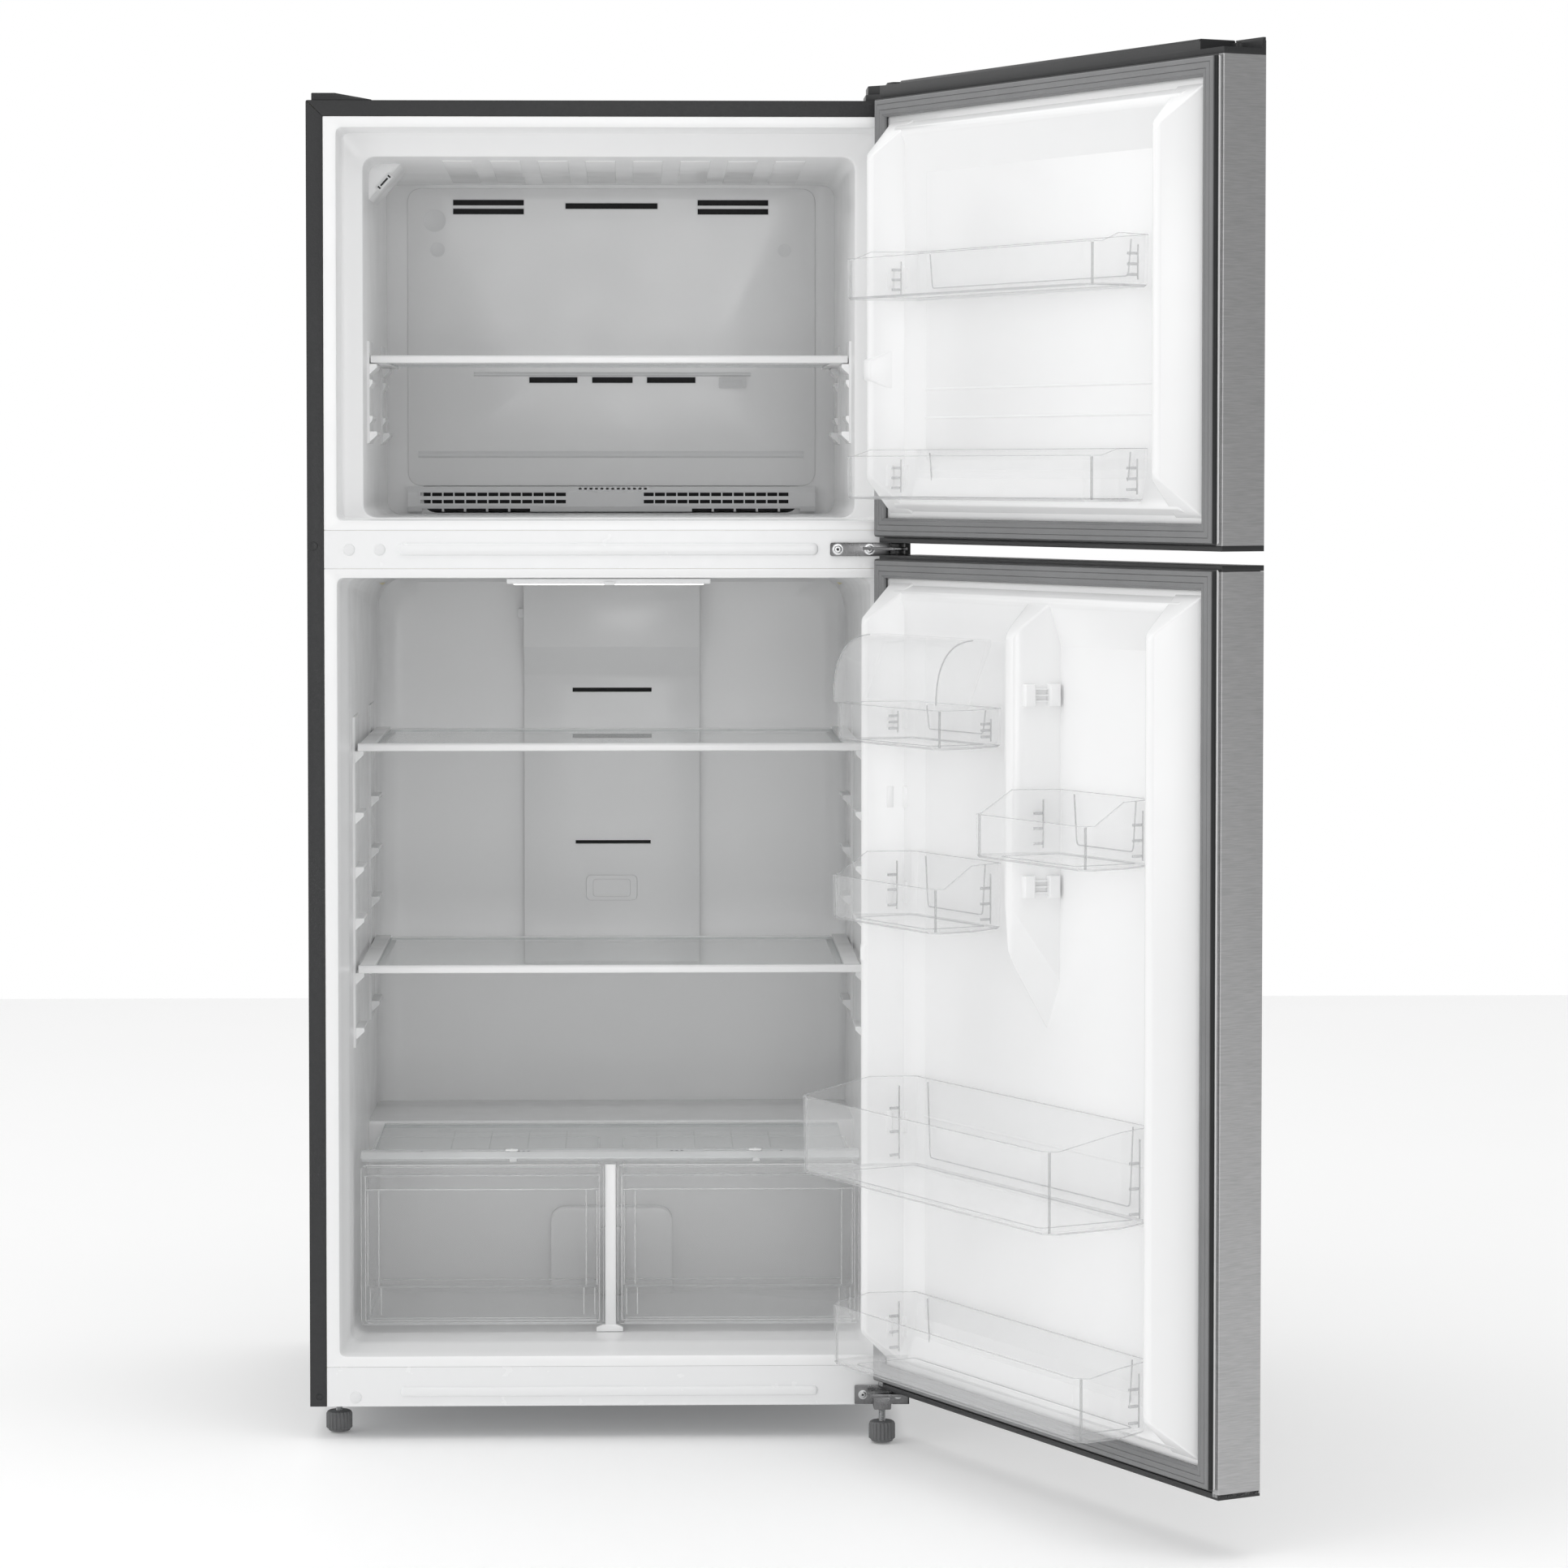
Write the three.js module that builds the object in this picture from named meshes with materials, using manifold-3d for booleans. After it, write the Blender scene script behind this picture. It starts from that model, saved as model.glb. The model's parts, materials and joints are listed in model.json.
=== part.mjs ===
// Top freezer refrigerator, standing on its feet with both doors swung open.
// X runs to the right, Y to the back and Z up, in millimetres. While the parts are made, Y = 0 is the
// front of the cabinet, X = 0 its middle and Z = 0 the floor; the last lines move the whole appliance so
// that its origin is on the floor under the middle of its bounding box. Door parts are drawn with their
// door closed and then turned about the hinge line.
import * as THREE from "three";
import { mergeVertices } from "three/addons/utils/BufferGeometryUtils.js";
import Module from "manifold-3d";

const wasm = await Module();
wasm.setup();

// ---- driving dimensions ----
const GAP = 0.3; // play between neighbouring parts
const CABINET = { half: 378, back: 690, bottom: 41, top: 1682, sheet: 1.5 };
const FLANGE = 21; // folded edge of the steel shell round the front
const OPENING_HALF = 340.3; // half width of both liner mouths
const FLANGE_FRONT = 0.5; // front face of the liner flanges
const LINER = 3; // wall of the moulded liners
const FREEZER = { bottom: 1158, top: 1648, pocket: 42, half: 309, ceiling: 1614, floor: 1161, back: 612 };
const FRIDGE = { bottom: 104.6, top: 1085.5, pocket: 48, half: 330, ceiling: 1085, floor: 113, back: 626 };
const CRISPER_STEP = { front: 420, top: 345 }; // the liner steps forward here over the compressor bay
const BAY = { front: 470, top: 322 }; // compressor bay, open at the back
const MULLION = { bottom: 1097.5, top: 1145.5 };
const RAIL_TOP = 90.7; // top of the rail under the fridge mouth
const DOOR = { half: 375, inner: -14, outer: -72, sheet: 1.2, open: 117.5 };
const HINGE = { x: 360, y: -32 }; // the line both doors turn about
const PIN = 4; // hinge pin radius
const FREEZER_DOOR = { bottom: 1130.4, skinBottom: 1137, skinTop: 1682, top: 1702 };
const FRIDGE_DOOR = { bottom: 68, skinBottom: 71, skinTop: 1108, top: 1115 };
const GASKET = { outer: 369.5, inner: 347.5, back: -10.7, front: -2.2 };
const DIKE = { foot: 343, outer: 322, inner: 308, innerFoot: 287, height: 38 };
const SHELF = { front: 113, rail: 14, railHeight: 10.5, glass: 4 };
const KNOB = { radius: 16.6, height: 26 };
const STEM = 4.5; // levelling foot stem radius
const LEFT_FOOT = { x: -344.6, y: 54 };
const RIGHT_FOOT = { x: 342, y: -27 };
const ROLLER = { x: 330, y: 640, radius: 20, width: 18, axle: 4 };

// ---- solids ----
function solidOf(geometry) {
  const bare = geometry.index ? geometry.toNonIndexed() : geometry.clone();
  bare.deleteAttribute("normal");
  bare.deleteAttribute("uv");
  const merged = mergeVertices(bare, 1e-4);
  const vertProperties = merged.attributes.position.array;
  const triVerts = new Uint32Array(merged.index.array);
  return new wasm.Manifold(new wasm.Mesh({ numProp: 3, vertProperties, triVerts }));
}

function geometryOf(solid) {
  const mesh = solid.getMesh();
  const points = new Float32Array(mesh.numVert * 3);
  for (let i = 0; i < mesh.numVert; i++) {
    const start = i * mesh.numProp;
    points.set(mesh.vertProperties.subarray(start, start + 3), i * 3);
  }
  const geometry = new THREE.BufferGeometry();
  geometry.setAttribute("position", new THREE.BufferAttribute(points, 3));
  geometry.setIndex(new THREE.BufferAttribute(mesh.triVerts, 1));
  const faceted = geometry.toNonIndexed();
  faceted.computeVertexNormals();
  return faceted;
}

const join = (solids) => solids.reduce((sum, next) => sum.add(next));
const cut = (solid, tools) => tools.reduce((rest, tool) => rest.subtract(tool), solid);

function block(x0, x1, y0, y1, z0, z1) {
  const geometry = new THREE.BoxGeometry(x1 - x0, y1 - y0, z1 - z0);
  geometry.translate((x0 + x1) / 2, (y0 + y1) / 2, (z0 + z1) / 2);
  return solidOf(geometry);
}

// The same block on both sides of the middle plane X = 0.
const bothSides = (x0, x1, y0, y1, z0, z1) => [
  block(x0, x1, y0, y1, z0, z1),
  block(-x1, -x0, y0, y1, z0, z1),
];

function outline(points) {
  return new THREE.Shape(points.map(([u, v]) => new THREE.Vector2(u, v)));
}

function roundedOutline(u0, u1, v0, v1, r) {
  const shape = new THREE.Shape();
  const quarter = Math.PI / 2;
  shape.absarc(u1 - r, v0 + r, r, -quarter, 0);
  shape.absarc(u1 - r, v1 - r, r, 0, quarter);
  shape.absarc(u0 + r, v1 - r, r, quarter, 2 * quarter);
  shape.absarc(u0 + r, v0 + r, r, 2 * quarter, 3 * quarter);
  return shape;
}

const extruded = (shape, depth, curveSegments = 3) =>
  new THREE.ExtrudeGeometry(shape, { depth, bevelEnabled: false, curveSegments });

// Prisms: the outline is given in (X, Y), in (X, Z) or in (Y, Z).
const prismZ = (shape, z0, z1) => solidOf(extruded(shape, z1 - z0).translate(0, 0, z0));
const prismY = (shape, y0, y1) =>
  solidOf(extruded(shape, y1 - y0).rotateX(Math.PI / 2).translate(0, y1, 0));
function prismX(shape, x0, x1) {
  const turn = new THREE.Matrix4().makeBasis(
    new THREE.Vector3(0, 1, 0),
    new THREE.Vector3(0, 0, 1),
    new THREE.Vector3(1, 0, 0),
  );
  return solidOf(extruded(shape, x1 - x0).applyMatrix4(turn).translate(x0, 0, 0));
}

function turned(profile, segments = 16) {
  const points = profile.map(([r, h]) => new THREE.Vector2(r, h));
  return new THREE.LatheGeometry(points, segments).rotateX(Math.PI / 2);
}

const rod = (x, y, z0, z1, r, sides = 12) =>
  solidOf(turned([[0, z0], [r, z0], [r, z1], [0, z1]], sides).translate(x, y, 0));

// A tapering box with rounded edges along Y, through sections { y, half, z0, z1, r }.
function tapered(sections) {
  const steps = 3;
  const ring = ({ y, half, z0, z1, r }) => {
    const corners = [
      [half - r, z0 + r, -1],
      [half - r, z1 - r, 0],
      [r - half, z1 - r, 1],
      [r - half, z0 + r, 2],
    ];
    return corners.flatMap(([x, z, start]) =>
      Array.from({ length: steps + 1 }, (_, i) => {
        const angle = ((start + i / steps) * Math.PI) / 2;
        return [x + r * Math.cos(angle), y, z + r * Math.sin(angle)];
      }),
    );
  };
  const rings = sections.map(ring);
  const count = rings[0].length;
  const triangles = [];
  for (let j = 1; j < count - 1; j++) {
    const last = rings.length - 1;
    triangles.push(rings[0][0], rings[0][j], rings[0][j + 1]);
    triangles.push(rings[last][0], rings[last][j + 1], rings[last][j]);
  }
  for (let i = 0; i < rings.length - 1; i++) {
    for (let j = 0; j < count; j++) {
      const k = (j + 1) % count;
      triangles.push(rings[i][j], rings[i + 1][j], rings[i + 1][k]);
      triangles.push(rings[i][j], rings[i + 1][k], rings[i][k]);
    }
  }
  const geometry = new THREE.BufferGeometry();
  geometry.setAttribute("position", new THREE.Float32BufferAttribute(triangles.flat(), 3));
  return solidOf(geometry);
}

// ---- materials ----
const finish = (color, roughness, metalness = 0, opacity = 1) =>
  new THREE.MeshStandardMaterial({
    color,
    roughness,
    metalness,
    opacity,
    transparent: opacity < 1,
  });
const MATERIAL = {
  paint: finish(0x3a3b3d, 0.6),
  steel: finish(0x9a9b9c, 0.35, 1),
  white: finish(0xf2f3f4, 0.3),
  grille: finish(0xe8e9ea, 0.45),
  foam: finish(0xe9dfae, 0.95),
  gasket: finish(0x6d6e70, 0.7),
  cap: finish(0x1b1c1e, 0.5),
  zinc: finish(0xb8babd, 0.35, 1),
  clear: finish(0xf4f7f8, 0.08, 0, 0.3),
  glass: finish(0xe6f0ee, 0.05, 0, 0.35),
  light: finish(0xffffff, 0.3),
  aluminium: finish(0xc9ccce, 0.4, 1),
  compressor: finish(0x111214, 0.45),
  knob: finish(0x8d8f92, 0.6),
  roller: finish(0x2a2b2d, 0.6),
};

const appliance = new THREE.Group();
const freezerDoor = new THREE.Group();
const fridgeDoor = new THREE.Group();

function part(name, solid, material, parent = appliance) {
  const mesh = new THREE.Mesh(geometryOf(solid), material);
  mesh.name = name;
  parent.add(mesh);
  return mesh;
}

// ---- cabinet ----
function cabinetShell() {
  const { half, back, bottom, top, sheet } = CABINET;
  const wrap = cut(block(-half, half, 0, back, bottom, top), [
    block(sheet - half, half - sheet, sheet, back + 1, bottom - 1, top - sheet),
    block(FLANGE - half, half - FLANGE, -1, sheet + 1, bottom - 1, top - FLANGE + 1),
  ]);
  part("cabinet_shell", wrap, MATERIAL.paint);
}

// The mouth of a liner hollow. A cutting tool starts well in front of the flange.
function mouthOf(first, last, cutter) {
  const lead = cutter ? [{ ...first, y: -5 }] : [];
  return tapered([...lead, first, last]);
}

// The hollow of the freezer liner, grown outwards by a wall thickness.
function freezerHollow(grow, cutter) {
  const { bottom, top, pocket, half, ceiling, floor, back } = FREEZER;
  const mouth = mouthOf(
    { y: FLANGE_FRONT, half: OPENING_HALF + grow, z0: bottom - grow, z1: top + grow, r: 9 + grow },
    { y: pocket + grow, half: OPENING_HALF - 3 + grow, z0: bottom + 1 - grow, z1: top - 3 + grow,
      r: 9 + grow },
    cutter,
  );
  const room = tapered([
    { y: pocket - 4, half: half + grow, z0: floor - grow, z1: ceiling + grow, r: 18 + grow },
    { y: back + grow, half: half - 6 + grow, z0: floor - grow, z1: ceiling - 8 + grow, r: 18 + grow },
  ]);
  return mouth.add(room);
}

// The hollow of the fridge liner. Its ceiling falls to the back, and the compressor bay steps into it.
function fridgeHollow(grow, cutter) {
  const { bottom, top, pocket, half, ceiling, floor, back } = FRIDGE;
  const mouth = mouthOf(
    { y: FLANGE_FRONT, half: OPENING_HALF + grow, z0: bottom - grow, z1: top + grow, r: 9 + grow },
    { y: pocket + grow, half: OPENING_HALF - 9 + grow, z0: floor - grow, z1: ceiling + grow, r: 12 + grow },
    cutter,
  );
  const room = tapered([
    { y: pocket - 4, half: half + grow, z0: floor - grow, z1: ceiling + grow, r: 14 + grow },
    { y: back + grow, half: half - 6 + grow, z0: floor - grow, z1: ceiling - 10 + grow, r: 44 + grow },
  ]);
  const { front, top: stepTop } = CRISPER_STEP;
  const step = block(-400, 400, front + grow, back + 50, 50, stepTop - grow);
  const bulge = prismY(roundedOutline(-82 + grow, 82 - grow, 60, 230 - grow, 22), front - 20 + grow, back);
  return cut(mouth.add(room), [step, bulge]);
}

// Ledges on both side walls that the shelves stand on. The walls close in a little towards the back.
const ledges = (levels, depths, inner) =>
  levels.flatMap((z) => depths.flatMap(([y0, y1, wall]) => bothSides(inner, wall, y0, y1, z - 9, z)));

const FREEZER_SHELF_BOTTOM = 1356.4;
const UPPER_SHELF_BOTTOM = 861;
const LOWER_SHELF_BOTTOM = 576;

function liners() {
  const flangeHalf = CABINET.half - FLANGE - GAP;
  const flangeBack = FLANGE_FRONT + LINER;
  const freezerFlange = block(-flangeHalf, flangeHalf, FLANGE_FRONT, flangeBack,
    MULLION.top + GAP, CABINET.top - FLANGE + 1 - GAP);
  const freezerLedges = ledges([FREEZER_SHELF_BOTTOM - GAP, 1270], [[120, 200, 309], [380, 450, 306]], 296);
  const freezerShell = cut(freezerHollow(LINER, false).add(freezerFlange), [freezerHollow(0, true)]);
  part("freezer_liner", join([freezerShell, ...freezerLedges]), MATERIAL.white);

  const fridgeFlange = block(-flangeHalf, flangeHalf, FLANGE_FRONT, flangeBack,
    RAIL_TOP + GAP, MULLION.bottom - GAP);
  const levels = [UPPER_SHELF_BOTTOM - GAP, 790, 724, 655, LOWER_SHELF_BOTTOM - GAP, 505];
  const fridgeLedges = ledges(levels, [[130, 210, 330], [440, 520, 326]], 312);
  const fridgeShell = cut(fridgeHollow(LINER, false).add(fridgeFlange), [fridgeHollow(0, true)]);
  part("fridge_liner", join([fridgeShell, ...fridgeLedges]), MATERIAL.white);
}

// Foam fills the walls between the steel shell and the two liners, and leaves the compressor bay free.
function insulation() {
  const inset = CABINET.sheet + GAP;
  const whole = block(inset - CABINET.half, CABINET.half - inset, 4, CABINET.back - 2.5,
    44, CABINET.top - inset);
  const foam = cut(whole, [
    freezerHollow(LINER + GAP, true),
    fridgeHollow(LINER + GAP, true),
    block(-400, 400, BAY.front - 2.3, CABINET.back + 5, 20, BAY.top + 2.3),
    rod(LEFT_FOOT.x, LEFT_FOOT.y, 40, 70, 12),
  ]);
  part("insulation_foam", foam, MATERIAL.foam);
}

function basePan() {
  const half = CABINET.half - CABINET.sheet - GAP;
  const { x, y, axle } = ROLLER;
  const cheeks = [x - 13, x + 10.5].flatMap((left) => bothSides(left, left + 2.5, y - 22, y + 22, 14, 42));
  const axleProfile = [[0, -12], [axle, -12], [axle, 12], [0, 12]];
  const axles = [-x, x].map((middle) =>
    solidOf(turned(axleProfile, 12).rotateY(Math.PI / 2).translate(middle, y, ROLLER.radius)));
  const footBush = rod(LEFT_FOOT.x, LEFT_FOOT.y, 41, 56, 9);
  const pan = join([
    block(-half, half, 4, CABINET.back - 2.5, CABINET.bottom, CABINET.bottom + 2),
    block(-half, half, BAY.front - 2, BAY.front, CABINET.bottom, BAY.top + 2),
    block(-half, half, BAY.front - 2, CABINET.back - 2.5, BAY.top, BAY.top + 2),
    footBush,
    ...cheeks,
    ...axles,
  ]);
  part("base_pan", pan.subtract(rod(LEFT_FOOT.x, LEFT_FOOT.y, 30, 60, STEM + GAP)), MATERIAL.zinc);
}

// Rows of slots through a plate that lies across Y.
function slots(rows) {
  return rows.flatMap(({ x, z, count, pitch, width, height, y }) =>
    Array.from({ length: count }, (_, i) => {
      const middle = x + i * pitch;
      return block(middle - width / 2, middle + width / 2, y - 10, y + 10, z - height / 2, z + height / 2);
    }));
}

function rearPanels() {
  const y = CABINET.back - 1.7;
  const half = CABINET.half - CABINET.sheet - GAP;
  part("rear_panel", block(-half, half, y, y + 1.5, BAY.top + 8, CABINET.top - 2), MATERIAL.zinc);
  const cover = block(-half + 3, half - 3, y, y + 1.5, 50, BAY.top);
  const vents = slots([90, 120, 150, 220, 250, 280].map((z) => (
    { x: -270, z, count: 7, pitch: 90, width: 66, height: 8, y })));
  part("compressor_cover", cut(cover, vents), MATERIAL.paint);
}

function frontTrim() {
  const half = CABINET.half - FLANGE - GAP;
  const bar = { x0: -264.5, x1: 262 };
  const mullion = join([
    block(-half, half, 0.5, 2.5, MULLION.bottom, MULLION.top),
    prismY(roundedOutline(bar.x0, bar.x1, 1114, 1129.7, 7.5), -0.7, 1),
  ]);
  part("mullion_cover", mullion, MATERIAL.white);
  const rail = join([
    block(-half, half, 0.5, 2.5, CABINET.bottom, RAIL_TOP),
    prismY(roundedOutline(bar.x0, bar.x1, 53, 65.5, 6), -0.7, 1),
  ]);
  part("bottom_rail", rail, MATERIAL.white);
}

// ---- hinges ----
function hinges() {
  const { x, y } = HINGE;
  const arm = (width, back) =>
    outline([
      [x - width, back],
      [x - width, y],
      [x - width * 0.6, y - width * 0.8],
      [x + width * 0.6, y - width * 0.8],
      [x + width, y],
      [x + width, back],
    ]);
  const topBracket = join([
    block(328, 371, 25, 77, CABINET.top + GAP, CABINET.top + 3),
    prismZ(arm(12, 30), 1691, 1694),
    block(348, 371, 27, 30, CABINET.top + GAP, 1694),
    rod(x, y, 1672, 1692, PIN),
  ]);
  part("top_hinge_bracket", topBracket, MATERIAL.zinc);

  const coverOuter = outline([[322, 82], [322, 22], [345, 2], [345, y], [352, y - 13], [368, y - 13],
    [375, y], [375, 82]]);
  const coverInner = outline([[324, 80], [324, 23], [347, 3], [347, y], [353, y - 11], [367, y - 11],
    [373, y], [373, 80]]);
  const cover = prismZ(coverOuter, 1689, 1702).add(
    prismZ(outline([[322, 82], [322, 22], [345, 2], [375, 2], [375, 82]]), CABINET.top + GAP, 1690));
  const inside = prismZ(coverInner, 1688, 1699.5).add(
    prismZ(outline([[324, 80], [324, 23], [346, 4], [373, 4], [373, 80]]), CABINET.top, 1690));
  part("top_hinge_cover", cover.subtract(inside), MATERIAL.cap);

  const wedge = outline([[-371, CABINET.top + GAP], [-293, CABINET.top + GAP], [-342, 1691], [-371, 1691]]);
  part("top_left_cover", prismY(wedge, 2, 64), MATERIAL.cap);

  const middleArm = outline([[318, -1], [318, -8], [348, y - 6], [354, y - 12], [366, y - 12], [372, y - 5],
    [372, -1]]);
  const middle = join([
    prismY(roundedOutline(277, 372, 1113, 1130, 3), -3, -1),
    prismZ(middleArm, 1121, 1124.5),
    rod(x, y, 1100, 1146, PIN),
  ]);
  part("middle_hinge_bracket", middle, MATERIAL.zinc);

  const bottomArm = outline([[325, -1], [325, -42], [372, -42], [372, -1]]);
  const bottom = cut(join([
    block(308.6, 376, -3, -1, 42, 66),
    prismZ(bottomArm, 58, 62),
    block(331, 353, -40, -2, 42, 60),
    rod(x, y, 60, 84, PIN),
  ]), [rod(RIGHT_FOOT.x, RIGHT_FOOT.y, 30, 57, STEM + GAP)]);
  part("bottom_hinge_bracket", bottom, MATERIAL.zinc);
}

// ---- feet and rollers ----
function footSolid({ x, y }, stemTop) {
  const teeth = 18;
  const points = Array.from({ length: teeth * 2 }, (_, i) => {
    const angle = (i * Math.PI) / teeth;
    const radius = i % 2 ? KNOB.radius - 1.4 : KNOB.radius;
    return [x + radius * Math.cos(angle), y + radius * Math.sin(angle)];
  });
  return join([
    prismZ(outline(points), 3, KNOB.height),
    rod(x, y, 0, 4, KNOB.radius - 3, 18),
    rod(x, y, KNOB.height - 1, stemTop, STEM),
  ]);
}

function feet() {
  part("right_foot", footSolid(RIGHT_FOOT, 56), MATERIAL.knob);
  part("left_foot", footSolid(LEFT_FOOT, 66), MATERIAL.knob);
  const { x, y, radius, width, axle } = ROLLER;
  const profile = [[axle + 0.4, -width / 2], [radius - 2, -width / 2], [radius, 2 - width / 2],
    [radius, width / 2 - 2], [radius - 2, width / 2], [axle + 0.4, width / 2], [axle + 0.4, -width / 2]];
  for (const [name, side] of [["left_roller", -1], ["right_roller", 1]]) {
    const wheel = turned(profile, 20).rotateY(Math.PI / 2).translate(side * x, y, radius);
    part(name, solidOf(wheel), MATERIAL.roller);
  }
}

// ---- cooling system ----
function coolingSystem() {
  const y = 518;
  const cover = prismY(roundedOutline(-276, 278, 1199, 1603, 22), y, y + 3);
  const vents = slots([
    { x: -166, z: 1583, count: 2, pitch: 332, width: 96, height: 7, y },
    { x: -166, z: 1572, count: 2, pitch: 332, width: 96, height: 7, y },
    { x: 1, z: 1578, count: 1, pitch: 1, width: 125, height: 7, y },
    { x: -78, z: 1343, count: 1, pitch: 1, width: 66, height: 7, y },
    { x: 2, z: 1343, count: 1, pitch: 1, width: 55, height: 7, y },
    { x: 82, z: 1343, count: 1, pitch: 1, width: 66, height: 7, y },
  ]);
  part("evaporator_cover", cut(cover, vents), MATERIAL.white);

  const grille = block(-276, 278, y - 9, y + 3, 1162, 1198.5);
  const rows = [1173, 1184].flatMap((z) => [-241, 68].map((x) => (
    { x, z, count: 12, pitch: 16, width: 13, height: 4, y })));
  part("return_grille", cut(grille, slots(rows)), MATERIAL.grille);

  const fins = Array.from({ length: 9 }, (_, i) => block(-225 + i * 56, -223 + i * 56, 535, 590, 1215, 1370));
  const tubes = [1240, 1292, 1344].map((z) => block(-240, 240, 558, 568, z - 5, z + 5));
  const ends = bothSides(238, 240, 540, 586, 1225, 1362);
  part("evaporator_coil", join([...fins, ...tubes, ...ends]), MATERIAL.aluminium);

  const fan = { x: 1, z: 1470 };
  const ring = cut(
    block(fan.x - 70, fan.x + 70, 556, 562, fan.z - 66, fan.z + 66), [
      solidOf(turned([[0, -20], [56, -20], [56, 20], [0, 20]], 20)
        .rotateX(Math.PI / 2).translate(fan.x, 559, fan.z)),
    ]);
  const motor = solidOf(turned([[0, -16], [20, -16], [20, 16], [0, 16]], 14)
    .rotateX(Math.PI / 2).translate(fan.x, 574, fan.z));
  const struts = [block(fan.x - 70, fan.x + 70, 562, 568, fan.z - 4, fan.z + 4),
    block(fan.x - 4, fan.x + 4, 562, 568, fan.z - 66, fan.z + 66)];
  const stand = block(fan.x - 10, fan.x + 10, 589, 609, fan.z - 10, fan.z + 10);
  part("fan_motor", join([ring, motor, ...struts, stand]), MATERIAL.cap);

  const hub = solidOf(turned([[0, -8], [13, -8], [13, 8], [0, 8]], 14).rotateX(Math.PI / 2)
    .translate(fan.x, 549, fan.z));
  const blades = [0, 1, 2, 3, 4].map((i) => {
    const blade = new THREE.BoxGeometry(42, 2, 26).rotateX(0.5).translate(31, 0, 0);
    blade.rotateY((i * 2 * Math.PI) / 5).translate(fan.x, 547, fan.z);
    return solidOf(blade);
  });
  part("fan_blade", join([hub, ...blades]), MATERIAL.roller);

  const dome = turned([[0, 62], [66, 62], [78, 70], [80, 130], [80, 150], [72, 190], [40, 214], [0, 220]], 16)
    .translate(-170, 585, 0);
  const feetPlate = block(-262, -78, 530, 640, 56, 63);
  const grommets = [-250, -90].flatMap((x) => [540, 630].map((depth) => rod(x, depth, 43.3, 57, 8, 10)));
  part("compressor", join([solidOf(dome), feetPlate, ...grommets]), MATERIAL.compressor);

  const runs = Array.from({ length: 5 }, (_, i) => block(20, 330, 500 + i * 36, 508 + i * 36, 120, 128));
  const bends = Array.from({ length: 4 }, (_, i) =>
    block(i % 2 ? 20 : 322, i % 2 ? 28 : 330, 500 + i * 36, 544 + i * 36, 120, 128));
  const legs = [[20, 500], [322, 644]].map(([x, depth]) => block(x, x + 8, depth, depth + 8, 43.3, 121));
  part("condenser_coil", join([...runs, ...bends, ...legs]), MATERIAL.compressor);
}

// ---- fridge fittings ----
function fridgeFittings() {
  const wall = FRIDGE.back - GAP;
  const duct = prismX(outline([[wall, 534], [wall, 1070], [wall - 40, 1072], [wall - 36, 977],
    [wall - 16, 936], [wall - 14, 539], [wall - 8, 534]]), -121, 122);
  const ductSlots = slots([[917, 110], [853, 110], [706, 104]].map(([z, width]) => (
    { x: 1, z, count: 1, pitch: 1, width, height: 6, y: wall - 16 })));
  part("duct_panel", cut(duct, ductSlots), MATERIAL.white);
  const light = join([block(-130, 128, 50, 80, 1078.4, 1083.4), block(-122, 121, 54, 76, 1075.4, 1079)]);
  part("ceiling_light", light, MATERIAL.light);

  const post = join([
    block(-7, 7.5, 118, 132, 122, 336.5),
    block(-18, 16, 116, 134, 113.6, 122.5),
    block(-3, 3.5, 132, 390, 113.6, 219),
  ]);
  part("crisper_post", post, MATERIAL.white);
}

// A glass shelf in a white U-shaped frame: the frame runs along the front and both sides.
function shelf(name, { half, glassHalf, back, bottom }) {
  const { front, rail, railHeight, glass } = SHELF;
  const top = bottom + railHeight;
  const frame = join([
    block(-half, half, front, front + rail, bottom, top),
    ...bothSides(glassHalf + GAP, half, front + rail - 1, back, bottom, top - 1),
    ...bothSides(glassHalf - 8, half, front + rail - 1, back, bottom, bottom + 2),
  ]);
  part(name + "_frame", frame, MATERIAL.white);
  const seat = bottom + 2 + GAP;
  const pane = block(-glassHalf, glassHalf, front + rail + GAP, back - 2, seat, seat + glass);
  part(name + "_glass", pane, MATERIAL.glass);
}

function crisper() {
  const back = 400;
  const top = 346;
  const half = 320;
  const glassHalf = 304;
  const frontRail = prismX(outline([[113, 337.5], [113, 339.5], [121, top], [150, top], [150, 335],
    [146, 331], [135, 331], [135, 337.5]]), -half, half);
  const tracks = [-155, 158].map((x) => block(x - 37, x + 37, 124, 130, 330, 350));
  const frame = cut(join([
    frontRail,
    ...bothSides(glassHalf + GAP, half, 149, back, 333, top),
    ...bothSides(glassHalf - 8, half, 149, back, 333, 338),
  ]), tracks);
  part("crisper_cover_frame", frame, MATERIAL.white);
  const pane = block(-glassHalf, glassHalf, 150 + GAP, back - 2, 338 + GAP, 343);
  part("crisper_cover_glass", pane, MATERIAL.glass);
  for (const [name, x] of [["left_humidity_slider", -155], ["right_humidity_slider", 158]]) {
    const slider = join([
      block(x + 25, x + 35, 124 + GAP, 130 - GAP, 332, top + GAP),
      block(x + 20, x + 36.5, 122, 132, top + GAP, top + 3),
    ]);
    part(name, slider, MATERIAL.white);
  }
}

// A clear open-topped box: an outline in (X, Y), a floor and thin walls.
function tray(outer, inner, z0, z1, floor) {
  return prismZ(outer, z0, z1).subtract(prismZ(inner, z0 + floor, z1 + 5));
}

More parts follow.
